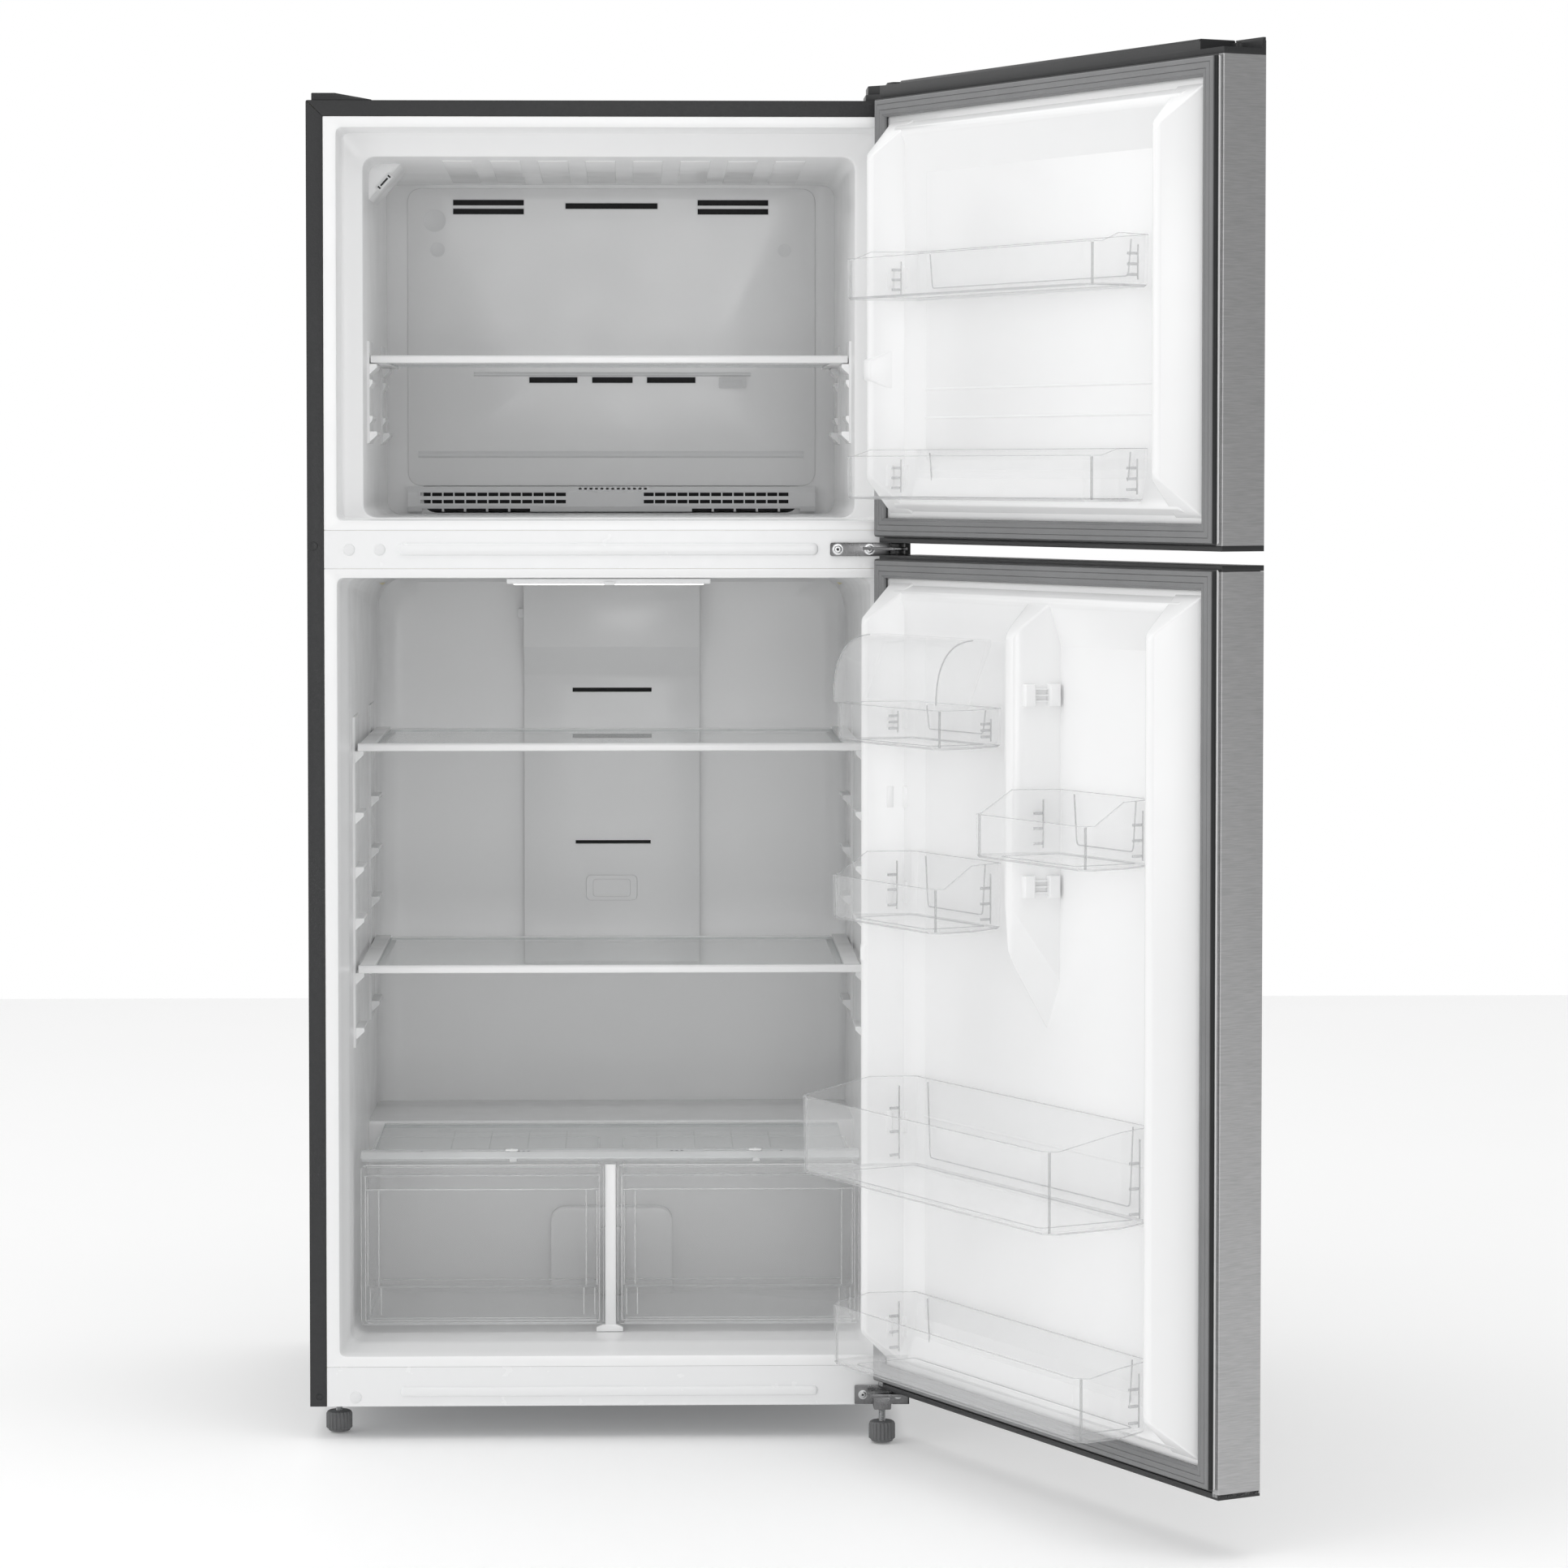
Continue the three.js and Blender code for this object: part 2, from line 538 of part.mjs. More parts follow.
function drawer(name, x0, x1) {
  const wall = 2.5;
  const box = tray(
    outline([[x0 + 6, 116], [x1 - 6, 116], [x1 - 6, 393], [x0 + 6, 393]]),
    outline([[x0 + 6 + wall, 116 + wall], [x1 - 6 - wall, 116 + wall], [x1 - 6 - wall, 393 - wall],
      [x0 + 6 + wall, 393 - wall]]),
    124, 327, 3);
  const face = prismY(roundedOutline(x0, x1, 131 - 7, 330, 7), 112.5, 116.5);
  const grip = prismX(outline([[116, 312], [134, 318], [134, 321], [116, 315]]), x0 + 8, x1 - 8);
  part(name, join([box, face, grip]), MATERIAL.clear);
}

// ---- doors ----
// A frustum along Y between two rectangles { y, x: [low, high], z: [low, high] }.
function frustum(back, front) {
  const geometry = new THREE.BoxGeometry(2, 2, 2);
  const corners = geometry.attributes.position;
  for (let i = 0; i < corners.count; i++) {
    const end = corners.getY(i) < 0 ? back : front;
    const pick = (pair, sign) => pair[sign < 0 ? 0 : 1];
    corners.setXYZ(i, pick(end.x, corners.getX(i)), end.y, pick(end.z, corners.getZ(i)));
  }
  return solidOf(geometry);
}

// The raised frame along both sides of a door liner, which fits into the mouth of the liner it closes.
function dikes(z0, z1) {
  const { foot, outer, inner, innerFoot, height } = DIKE;
  const slope = 45;
  const wall = 3;
  const mirrored = ([low, high], side) => (side < 0 ? [-high, -low] : [low, high]);
  const make = (side, base, t) =>
    frustum(
      { y: base, x: mirrored([innerFoot + 2 * t, foot - 2 * t], side), z: [z0 + 2 * t, z1 - 2 * t] },
      { y: height - t, x: mirrored([inner + t, outer - t], side), z: [z0 + slope + t, z1 - slope - t] },
    );
  const back = DOOR.inner + GAP;
  return {
    raised: [-1, 1].map((side) => make(side, back, 0)),
    hollows: [-1, 1].map((side) => make(side, back - 6, wall)),
  };
}

// The upright divider between the two columns of fridge door bins. It ends in a point at the bottom.
function doorDivider() {
  return frustum(
    { y: DOOR.inner + GAP, x: [-50, 8], z: [560, 1076] },
    { y: 45, x: [-34, -14], z: [647, 1030] },
  );
}

function doorLiner(z0, z1, extras) {
  const sheet = block(-GASKET.outer, GASKET.outer, DOOR.inner + GAP, GASKET.back - GAP, z0, z1);
  const { raised, hollows } = dikes(z0 + 28, z1 - 28);
  return cut(join([sheet, ...raised, ...extras]), hollows);
}

function gasketRing(z0, z1) {
  const { outer, inner, back, front } = GASKET;
  const width = outer - inner;
  return block(-outer, outer, back, front, z0, z1).subtract(
    block(-inner, inner, back - 1, front + 1, z0 + width, z1 - width));
}

function doorSkin(z0, z1) {
  const { half, inner, outer, sheet } = DOOR;
  return cut(block(-half, half, outer, inner, z0, z1), [
    block(sheet - half, half - sheet, outer + sheet, inner - sheet, z0 - 1, z1 + 1),
    block(12 - half, half - 12, outer + 5, inner + 5, z0 - 1, z1 + 1),
  ]);
}

// An end cap: a slab as wide as the door, with a plug that reaches into the skin and holds the hinge bush.
function endCap(slab, plug) {
  const { half, inner, outer, sheet } = DOOR;
  const inset = sheet + GAP;
  return block(-half, half, outer, inner, ...slab).add(
    block(inset - half, half - inset, outer + inset, inner - inset, ...plug));
}

const pinHole = (z0, z1) => rod(HINGE.x, HINGE.y, z0, z1, PIN + 0.4);

function door(prefix, parent, { bottom, skinBottom, skinTop, top }, details) {
  const { half, inner, outer, sheet } = DOOR;
  const inset = sheet + GAP;
  part(prefix + "_skin", doorSkin(skinBottom, skinTop), MATERIAL.steel, parent);
  const plug = 16;
  const foam = block(inset - half, half - inset, outer + inset, inner - inset,
    skinBottom + plug + GAP, skinTop - plug - GAP);
  part(prefix + "_foam", foam, MATERIAL.foam, parent);
  part(prefix + "_liner", doorLiner(...details.liner, details.linerExtras), MATERIAL.white, parent);
  part(prefix + "_gasket", gasketRing(...details.gasket), MATERIAL.gasket, parent);
  const topCap = endCap([skinTop + GAP, top], [skinTop - plug, skinTop + GAP + 1]);
  part(prefix + "_top_cap", cut(topCap, details.topCuts), MATERIAL.cap, parent);
  const bottomCap = endCap([bottom, skinBottom - GAP], [skinBottom - GAP - 1, skinBottom + plug]);
  part(prefix + "_bottom_cap", cut(bottomCap, details.bottomCuts), MATERIAL.cap, parent);
}

// A clear door bin. It widens in front of the raised frame and its front is lower than its ends.
function doorBin(x0, x1, reach, z0, z1, drop) {
  const wall = 2.5;
  const plan = (t) => outline([
    [x0 + 24 + t, -8 + t],
    [x1 - 24 - t, -8 + t],
    [x1 - 2 - t, 46],
    [x1 - t, reach - 14],
    [x1 - 14 - t * 0.4, reach - t],
    [x0 + 14 + t * 0.4, reach - t],
    [x0 + t, reach - 14],
    [x0 + 2 + t, 46],
  ]);
  const box = tray(plan(0), plan(wall), z0, z1, 3);
  const over = [[52, z1 + 5], [52, z1], [70, z1 - drop], [reach + 5, z1 - drop], [reach + 5, z1 + 5]];
  const low = prismX(outline(over), x0 - 20, x1 + 20);
  return box.subtract(low);
}

const DAIRY = { x0: 50, x1: 300, bottom: 890, lid: 937, reach: 98, hinge: { y: 20, z: 1014 } };

// The curved hood over the dairy bin. It hangs from its hinge line at the back and rests on the bin's front.
function dairyLid() {
  const { x0, x1, lid, reach, hinge } = DAIRY;
  const wall = 2.5;
  const profile = (t, floor) => {
    const shape = new THREE.Shape();
    shape.moveTo(56 - t, floor);
    shape.lineTo(reach - t, floor);
    shape.quadraticCurveTo(reach - t, hinge.z + 4 - t, hinge.y + 10 - t, hinge.z + 6 - t);
    shape.lineTo(hinge.y - t * 4, hinge.z + 6 - t);
    shape.lineTo(hinge.y - t * 4, hinge.z - t);
    return shape;
  };
  const hood = prismX(profile(0, lid + GAP), x0 + 3, x1 - 3);
  return hood.subtract(prismX(profile(wall, lid - 5), x0 + 3 + wall, x1 - 3 - wall));
}

function doors() {
  door("freezer_door", freezerDoor, FREEZER_DOOR, {
    liner: [1138.5, 1680],
    linerExtras: [],
    gasket: [1139.5, 1679.5],
    topCuts: [
      block(-366, 336, -66, -20, 1660, 1698.5),
      block(342, 377, -68, -13, 1688, 1710),
      block(12, 60, -80, -60, 1700, 1710),
      pinHole(1660, 1692),
    ],
    bottomCuts: [pinHole(1125, 1160)],
  });
  part("freezer_upper_bin", doorBin(-262, 294, 88, 1428, 1488, 10), MATERIAL.clear, freezerDoor);
  part("freezer_lower_bin", doorBin(-262, 294, 88, 1185.5, 1246, 8), MATERIAL.clear, freezerDoor);

  door("fridge_door", fridgeDoor, FRIDGE_DOOR, {
    liner: [79, 1110],
    gasket: [80.5, 1108.5],
    linerExtras: [doorDivider()],
    topCuts: [pinHole(1090, 1120)],
    bottomCuts: [pinHole(60, 90)],
  });
  const { x0, x1, bottom, lid, reach } = DAIRY;
  part("dairy_bin", doorBin(x0, x1, reach, bottom, lid, 0), MATERIAL.clear, fridgeDoor);
  part("dairy_lid", dairyLid(), MATERIAL.clear, fridgeDoor);
  part("small_left_bin", doorBin(50, 302, 103, 672, 752, 26), MATERIAL.clear, fridgeDoor);
  part("small_right_bin", doorBin(-276, -33, 104, 771, 848, 26), MATERIAL.clear, fridgeDoor);
  part("upper_bottle_bin", doorBin(-272, 296, 148, 363, 474, 16), MATERIAL.clear, fridgeDoor);
  part("lower_bottle_bin", doorBin(-272, 296, 105, 124, 206, 8), MATERIAL.clear, fridgeDoor);
}

// ---- assembly ----
cabinetShell();
liners();
insulation();
basePan();
rearPanels();
frontTrim();
hinges();
feet();
coolingSystem();
fridgeFittings();
shelf("freezer_shelf", { half: 304, glassHalf: 292, back: 453, bottom: FREEZER_SHELF_BOTTOM });
shelf("upper_shelf", { half: 322, glassHalf: 301, back: 530, bottom: UPPER_SHELF_BOTTOM });
shelf("lower_shelf", { half: 322, glassHalf: 301, back: 530, bottom: LOWER_SHELF_BOTTOM });
crisper();
drawer("left_crisper", -320, -8.5);
drawer("right_crisper", 9, 320);
doors();

// Both doors swing about the hinge line at the right front edge.
for (const leaf of [freezerDoor, fridgeDoor]) {
  const swing = new THREE.Group();
  swing.position.set(HINGE.x, HINGE.y, 0);
  swing.rotation.z = THREE.MathUtils.degToRad(DOOR.open);
  leaf.position.set(-HINGE.x, -HINGE.y, 0);
  swing.add(leaf);
  appliance.add(swing);
}

appliance.updateMatrixWorld(true);
const bounds = new THREE.Box3().setFromObject(appliance, true);
const middle = bounds.getCenter(new THREE.Vector3());
appliance.position.set(-middle.x, -middle.y, -bounds.min.z);

const group = new THREE.Group();
group.add(appliance);
export default group;
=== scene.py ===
# The looks of a top freezer refrigerator with both doors open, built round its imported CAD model.
# Shapes are drawn in millimetres in the appliance's own frame: X = 0 is the cabinet's middle, Y = 0 its
# front and Z = 0 the floor. Door pieces are drawn with their door closed and turned with it.
import json
import math

import bmesh
import bpy
from mathutils import Matrix, Vector


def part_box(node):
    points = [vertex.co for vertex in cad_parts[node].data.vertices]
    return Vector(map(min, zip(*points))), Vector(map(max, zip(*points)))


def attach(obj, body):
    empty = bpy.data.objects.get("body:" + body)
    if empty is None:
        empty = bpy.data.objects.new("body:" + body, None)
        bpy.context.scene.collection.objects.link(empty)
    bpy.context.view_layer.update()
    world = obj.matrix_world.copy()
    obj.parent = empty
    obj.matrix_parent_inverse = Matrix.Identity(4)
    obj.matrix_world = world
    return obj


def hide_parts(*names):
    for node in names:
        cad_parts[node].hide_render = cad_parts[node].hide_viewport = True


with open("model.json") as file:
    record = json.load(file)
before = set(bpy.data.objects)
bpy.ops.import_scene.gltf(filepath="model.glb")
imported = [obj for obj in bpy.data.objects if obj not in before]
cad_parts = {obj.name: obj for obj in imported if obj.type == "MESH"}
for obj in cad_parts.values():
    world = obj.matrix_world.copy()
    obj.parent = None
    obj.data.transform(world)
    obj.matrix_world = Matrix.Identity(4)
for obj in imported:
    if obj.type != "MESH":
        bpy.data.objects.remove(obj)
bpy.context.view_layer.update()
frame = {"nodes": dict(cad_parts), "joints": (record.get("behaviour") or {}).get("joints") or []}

# ---- frame ----
MM = 0.001
joints = {joint["name"]: joint for joint in frame["joints"]}
shell_low, shell_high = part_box("cabinet_shell")
hinge = Vector(joints["freezer_door_hinge"]["pos_m"])
OPEN = math.radians(-joints["freezer_door_hinge"]["range_deg"][0])
CABINET = Matrix.Translation(((shell_low.x + shell_high.x) / 2, shell_low.y, 0)) @ Matrix.Scale(MM, 4)
SWUNG = Matrix.Translation(hinge) @ Matrix.Rotation(OPEN, 4, "Z") @ Matrix.Translation(-hinge) @ CABINET


def span(node, space=CABINET):
    """The extent of a CAD node in millimetres, as (x0, x1, y0, y1, z0, z1), in the frame it is drawn in."""
    back = space.inverted()
    points = [back @ v.co for v in frame["nodes"][node].data.vertices]
    return [pick(p[i] for p in points) for i in range(3) for pick in (min, max)]


# ---- mesh making ----
def rounded(points, radius, steps=4):
    """The outline with each corner turned into an arc. radius is one number or one for each corner."""
    radii = radius if hasattr(radius, "__len__") else [radius] * len(points)
    made = []
    for i, r in enumerate(radii):
        corner = Vector(points[i])
        before, after = Vector(points[i - 1]) - corner, Vector(points[(i + 1) % len(points)]) - corner
        half = before.angle(after) / 2
        reach = min(r / math.tan(half), before.length * 0.49, after.length * 0.49)
        if reach < 0.05:
            made.append(tuple(corner))
            continue
        a, b = corner + before.normalized() * reach, corner + after.normalized() * reach
        for k in range(steps + 1):
            t = k / steps
            made.append(tuple((1 - t) ** 2 * a + 2 * t * (1 - t) * corner + t * t * b))
    return made


def rectangle(u0, u1, v0, v1, r=0, steps=4):
    corners = [(u0, v0), (u1, v0), (u1, v1), (u0, v1)]
    return rounded(corners, r, steps) if r else corners


def in_space(axis, u, v, w):
    """A point of an outline drawn across an axis: (X, Y) across Z, (X, Z) across Y or (Y, Z) across X."""
    return {"Z": (u, v, w), "Y": (u, w, v), "X": (w, u, v)}[axis]


def level(outline, place, axis="Y"):
    """The points of an outline, all at one place along the axis that it is drawn across."""
    return [in_space(axis, u, v, place) for u, v in outline]


def loft(bm, rings, index=0, caps=(0, -1)):
    """Joins closed rings of points, each with the same count. caps names the rings that are filled in."""
    rows = [[bm.verts.new(p) for p in ring] for ring in rings]
    faces = []
    for low, high in zip(rows, rows[1:]):
        for i in range(len(low)):
            j = (i + 1) % len(low)
            faces.append(bm.faces.new((low[i], low[j], high[j], high[i])))
    faces += [bm.faces.new(rows[i]) for i in caps]
    for face in faces:
        face.material_index = index
    return faces


def prism(bm, outline, axis, low, high, index=0):
    return loft(bm, [level(outline, low, axis), level(outline, high, axis)], index)


def box(bm, x0, x1, y0, y1, z0, z1, index=0):
    return prism(bm, rectangle(x0, x1, y0, y1), "Z", z0, z1, index)


def lathe(bm, profile, centre, axis="Z", count=24):
    """Turns a profile of (radius, place along the axis) round an axis through centre, and closes its ends."""
    angles = [2 * math.pi * k / count for k in range(count)]
    rings = []
    for radius, w in profile:
        circle = level([(radius * math.cos(a), radius * math.sin(a)) for a in angles], w, axis)
        rings.append([tuple(Vector(p) + Vector(centre)) for p in circle])
    return loft(bm, rings)


def sweep_round(bm, profile, x0, x1, z0, z1):
    """Runs a closed profile of (distance in from the edge, Y) round a rectangle, with mitred corners."""
    rings = []
    for t, y in profile:
        rings.append([(x0 + t, y, z0 + t), (x1 - t, y, z0 + t), (x1 - t, y, z1 - t), (x0 + t, y, z1 - t)])
    return loft(bm, rings + rings[:1], caps=())


def mark_edges(bm, axis, limit):
    """Gives the faces that look along an axis the first material, and the faces round them the second."""
    bm.normal_update()
    for face in bm.faces:
        face.material_index = 0 if abs(face.normal[axis]) > limit else 1


def new():
    return bmesh.new()


def piece(name, bm, materials, body, slot, space=CABINET, replaces=(), bevel=0.0, segments=2, angle=34):
    """Makes an object of the mesh, rounds its sharp edges and lets it ride on a body."""
    bmesh.ops.remove_doubles(bm, verts=bm.verts, dist=1e-4)
    bmesh.ops.recalc_face_normals(bm, faces=bm.faces)
    if bevel:
        limit = math.radians(25)
        sharp = [e for e in bm.edges if len(e.link_faces) == 2 and e.calc_face_angle() > limit]
        bmesh.ops.bevel(bm, geom=sharp, offset=bevel, segments=segments, profile=0.5,
                        affect="EDGES", clamp_overlap=True)
    bm.transform(space)
    mesh = bpy.data.meshes.new(name)
    bm.to_mesh(mesh)
    bm.free()
    mesh.shade_smooth()
    mesh.set_sharp_from_angle(angle=math.radians(angle))
    for material in materials if isinstance(materials, (list, tuple)) else [materials]:
        mesh.materials.append(material)
    made = bpy.data.objects.new(name, mesh)
    bpy.context.scene.collection.objects.link(made)
    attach(made, body)
    if replaces:
        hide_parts(*([replaces] if isinstance(replaces, str) else replaces))
    return made


def carve(made, tools, space=CABINET):
    """Cuts the closed solids in the mesh tools out of an object."""
    bmesh.ops.recalc_face_normals(tools, faces=tools.faces)
    tools.transform(space)
    mesh = bpy.data.meshes.new("tools")
    tools.to_mesh(mesh)
    tools.free()
    cutter = bpy.data.objects.new("tools", mesh)
    bpy.context.scene.collection.objects.link(cutter)
    step = made.modifiers.new("cut", "BOOLEAN")
    step.operation, step.solver, step.object = "DIFFERENCE", "EXACT", cutter
    bpy.context.view_layer.update()
    evaluated = made.evaluated_get(bpy.context.evaluated_depsgraph_get())
    result = bpy.data.meshes.new_from_object(evaluated)
    made.modifiers.clear()
    made.data = result
    result.set_sharp_from_angle(angle=math.radians(34))
    bpy.data.objects.remove(cutter)


# ---- materials ----
class Nodes:
    """A small helper round one node tree."""

    def __init__(self, name):
        self.material = bpy.data.materials.new(name)
        self.material.use_nodes = True
        self.tree = self.material.node_tree
        self.shader = self.tree.nodes["Principled BSDF"]
        self.where = self.tree.nodes.new("ShaderNodeTexCoord").outputs["Object"]

    def add(self, kind, **values):
        node = self.tree.nodes.new(kind)
        for key, value in values.items():
            node.inputs[key].default_value = value
        return node

    def link(self, source, target):
        self.tree.links.new(source, target)

    def noise(self, scale, stretch=(1, 1, 1), detail=4.0):
        mapping = self.add("ShaderNodeMapping", Scale=stretch)
        self.link(self.where, mapping.inputs["Vector"])
        noise = self.add("ShaderNodeTexNoise", Scale=scale, Detail=detail)
        self.link(mapping.outputs["Vector"], noise.inputs["Vector"])
        return noise.outputs["Fac"]

    def spread(self, value, low, high):
        ranged = self.tree.nodes.new("ShaderNodeMapRange")
        ranged.inputs["From Min"].default_value = 0.3
        ranged.inputs["From Max"].default_value = 0.7
        ranged.inputs["To Min"].default_value = low
        ranged.inputs["To Max"].default_value = high
        self.link(value, ranged.inputs["Value"])
        return ranged.outputs["Result"]

    def tint(self, value, dark, light):
        mix = self.tree.nodes.new("ShaderNodeMix")
        mix.data_type = "RGBA"
        mix.inputs["A"].default_value = (*dark, 1)
        mix.inputs["B"].default_value = (*light, 1)
        self.link(self.spread(value, 0, 1), mix.inputs["Factor"])
        self.link(mix.outputs["Result"], self.shader.inputs["Base Color"])

    def bump(self, value, height, strength=1.0):
        bump = self.add("ShaderNodeBump", Strength=strength, Distance=height)
        self.link(value, bump.inputs["Height"])
        self.link(bump.outputs["Normal"], self.shader.inputs["Normal"])


def surface(name, color, variation=0.03, patch=6.0, rough=(0.35, 0.45), metal=0.0, grain=400.0,
            stretch=(1, 1, 1), height=0.00003, coat=0.0):
    """An opaque finish: a slightly patchy colour, a grain that is seen in gloss, and its bump."""
    nodes = Nodes(name)
    nodes.shader.inputs["Metallic"].default_value = metal
    nodes.shader.inputs["Coat Weight"].default_value = coat
    fine = nodes.noise(grain, stretch)
    broad = nodes.noise(patch if stretch == (1, 1, 1) else grain * 0.6, stretch)
    nodes.tint(broad, [c * (1 - variation) for c in color], [min(1, c * (1 + variation)) for c in color])
    nodes.link(nodes.spread(fine, *rough), nodes.shader.inputs["Roughness"])
    nodes.bump(fine, height)
    return nodes.material


def transparent(name, color, facing, grazing, rough=(0.03, 0.08), ripple=9.0, height=0.00002):
    """A clear sheet: it lets through most light face on, and shows white where it is seen edge on."""
    nodes = Nodes(name)
    wave = nodes.noise(ripple)
    nodes.tint(wave, [c * 0.97 for c in color], color)
    nodes.link(nodes.spread(wave, *rough), nodes.shader.inputs["Roughness"])
    nodes.bump(wave, height, 0.4)
    weight = nodes.add("ShaderNodeLayerWeight", Blend=0.35)
    ranged = nodes.tree.nodes.new("ShaderNodeMapRange")
    ranged.inputs["To Min"].default_value = facing
    ranged.inputs["To Max"].default_value = grazing
    nodes.link(weight.outputs["Facing"], ranged.inputs["Value"])
    nodes.link(ranged.outputs["Result"], nodes.shader.inputs["Alpha"])
    return nodes.material


def lamp(name, color, strength):
    nodes = Nodes(name)
    nodes.tint(nodes.noise(60.0), [c * 0.98 for c in color], color)
    nodes.shader.inputs["Emission Color"].default_value = (*color, 1)
    nodes.shader.inputs["Emission Strength"].default_value = strength
    return nodes.material


PAINT = surface("dark orange peel paint", (0.022, 0.0225, 0.0235), 0.06, 9, (0.42, 0.56), grain=330,
                height=0.00035)
STEEL = surface("brushed steel", (0.46, 0.46, 0.463), 0.1, rough=(0.34, 0.44), metal=1.0, grain=9.0,
                stretch=(9, 9, 170), height=0.00001)
LINER = surface("white liner", (0.885, 0.887, 0.889), 0.004, 3, (0.2, 0.27), grain=14, height=0.00008)
TRIM = surface("white enamel", (0.85, 0.854, 0.858), 0.004, 3, (0.2, 0.28), grain=40, height=0.00003)
PLASTIC = surface("satin white plastic", (0.79, 0.794, 0.798), 0.006, 8, (0.36, 0.46), grain=90,
                  height=0.00002)
GASKET = surface("grey gasket", (0.2, 0.202, 0.205), 0.05, 14, (0.5, 0.62), grain=500, height=0.00006)
BELLOWS = surface("dark bellows", (0.04, 0.041, 0.042), 0.06, 14, (0.45, 0.6), grain=500, height=0.00006)
CAP = surface("black plastic", (0.018, 0.0185, 0.0195), 0.1, 12, (0.34, 0.46), grain=900, height=0.00006)
# A near-black finish that paints shade where there is only a gap or hollow: the flange's mitres, the sensor
# cover's slots, screw recesses and the space behind air slots.
PAINTED_SHADE = surface("shadow gap", (0.03, 0.03, 0.031), 0.1, 12, (0.7, 0.8), grain=500, height=0.00004)
ZINC = surface("bright zinc", (0.55, 0.555, 0.56), 0.12, 40, (0.24, 0.36), 1.0, 260, height=0.00004)
HINGE = surface("dark zinc plate", (0.2, 0.2, 0.203), 0.2, 60, (0.24, 0.38), 1.0, 260, height=0.00006)
GALVANISED = surface("galvanised sheet", (0.42, 0.43, 0.44), 0.12, 26, (0.38, 0.52), 1.0, 160, height=0.00004)
COPPER = surface("copper tube", (0.6, 0.3, 0.18), 0.12, 40, (0.3, 0.42), 1.0, 260, height=0.00005)
ALUMINIUM = surface("aluminium fin", (0.7, 0.71, 0.72), 0.08, 30, (0.3, 0.42), 1.0, 300, height=0.00005)
BLACK_METAL = surface("black enamel", (0.014, 0.0145, 0.016), 0.12, 20, (0.25, 0.38), grain=300,
                      height=0.0001)
KNOB = surface("grey foot plastic", (0.15, 0.152, 0.155), 0.06, 50, (0.45, 0.58), grain=800, height=0.00008)
ROLLER = surface("dark nylon", (0.04, 0.041, 0.043), 0.08, 40, (0.5, 0.62), grain=800, height=0.00008)
FOAM = surface("foam", (0.75, 0.68, 0.42), 0.12, 120, (0.85, 0.95), grain=500, height=0.0004)
CLEAR = transparent("clear plastic", (0.88, 0.885, 0.89), 0.035, 0.26)
# A grey, less clear copy of the clear plastic for rims, edges and ribs: painted shade for the dark lines that
# clear plastic shows at its edges.
EDGE_SHADE = transparent("clear plastic edge", (0.5, 0.505, 0.51), 0.34, 0.66)
CRISP = transparent("clear drawer plastic", (0.85, 0.855, 0.86), 0.03, 0.26)
# A whiter, less clear copy of the drawer plastic for its edges, rims and guides: a painted highlight along
# them.
EDGE_HIGHLIGHT = transparent("clear drawer edge", (0.92, 0.925, 0.93), 0.42, 0.8)
BAND = transparent("milky drawer cover", (0.86, 0.87, 0.875), 0.45, 0.85)
GLASS = transparent("shelf glass", (0.72, 0.75, 0.75), 0.08, 0.4, (0.02, 0.05), 5.0, 0.00003)
GLASS_EDGE = transparent("shelf glass edge", (0.5, 0.56, 0.55), 0.5, 0.9, (0.05, 0.1))
LED = lamp("light strip", (1.0, 1.0, 1.0), 1.6)
FROST = surface("light frame", (0.9, 0.905, 0.91), 0.01, 20, (0.3, 0.4), grain=500, height=0.00003)


def moulded(name, bm, body="cabinet", *more, **options):
    """A piece of the white plastic that the linings are moulded from."""
    return piece(name, bm, LINER, body, "white_plastic", *more, **options)


# ---- camera, light and floor ----
CAMERA = Vector((29.5, -5938.0, 1223.2))  # in millimetres, in front of the cabinet's middle
LENS, SENSOR = 108.74, 36.0
AIM = Vector((0.022, 1, -0.0402))  # turned a little towards the middle of the appliance
SHIFT = (0.03, -0.08)  # the rest of the framing, which keeps the upright edges nearly parallel


def make_camera():
    data = bpy.data.cameras.new("camera")
    data.sensor_width, data.lens = SENSOR, LENS
    data.shift_x, data.shift_y = SHIFT
    data.clip_start, data.clip_end = 0.05, 60
    made = bpy.data.objects.new("camera", data)
    made.location = CABINET @ CAMERA
    made.rotation_euler = AIM.to_track_quat("-Z", "Y").to_euler()
    bpy.context.scene.collection.objects.link(made)
    bpy.context.scene.camera = made


def area_light(name, place, target, size, power):
    data = bpy.data.lights.new(name, "AREA")
    data.shape, data.size, data.size_y, data.energy = "RECTANGLE", size[0], size[1], power
    made = bpy.data.objects.new(name, data)
    made.location = place
    made.rotation_euler = (Vector(target) - Vector(place)).to_track_quat("-Z", "Y").to_euler()
    bpy.context.scene.collection.objects.link(made)


def light_from_left(tree):
    """A studio sky: white behind and to the left of the appliance, darker in front and to the right."""
    where = tree.nodes.new("ShaderNodeTexCoord")
    side = tree.nodes.new("ShaderNodeVectorMath")
    side.operation = "DOT_PRODUCT"
    side.inputs[1].default_value = (-0.45, 0.85, 0.25)
    tree.links.new(where.outputs["Generated"], side.inputs[0])
    level = tree.nodes.new("ShaderNodeMapRange")
    for key, value in {"From Min": -0.6, "From Max": 0.68, "To Min": 0.46, "To Max": 1.0}.items():
        level.inputs[key].default_value = value
    tree.links.new(side.outputs["Value"], level.inputs["Value"])
    sky = tree.nodes["Background"]
    sky.inputs["Color"].default_value = (1, 1, 1, 1)
    tree.links.new(level.outputs["Result"], sky.inputs["Strength"])


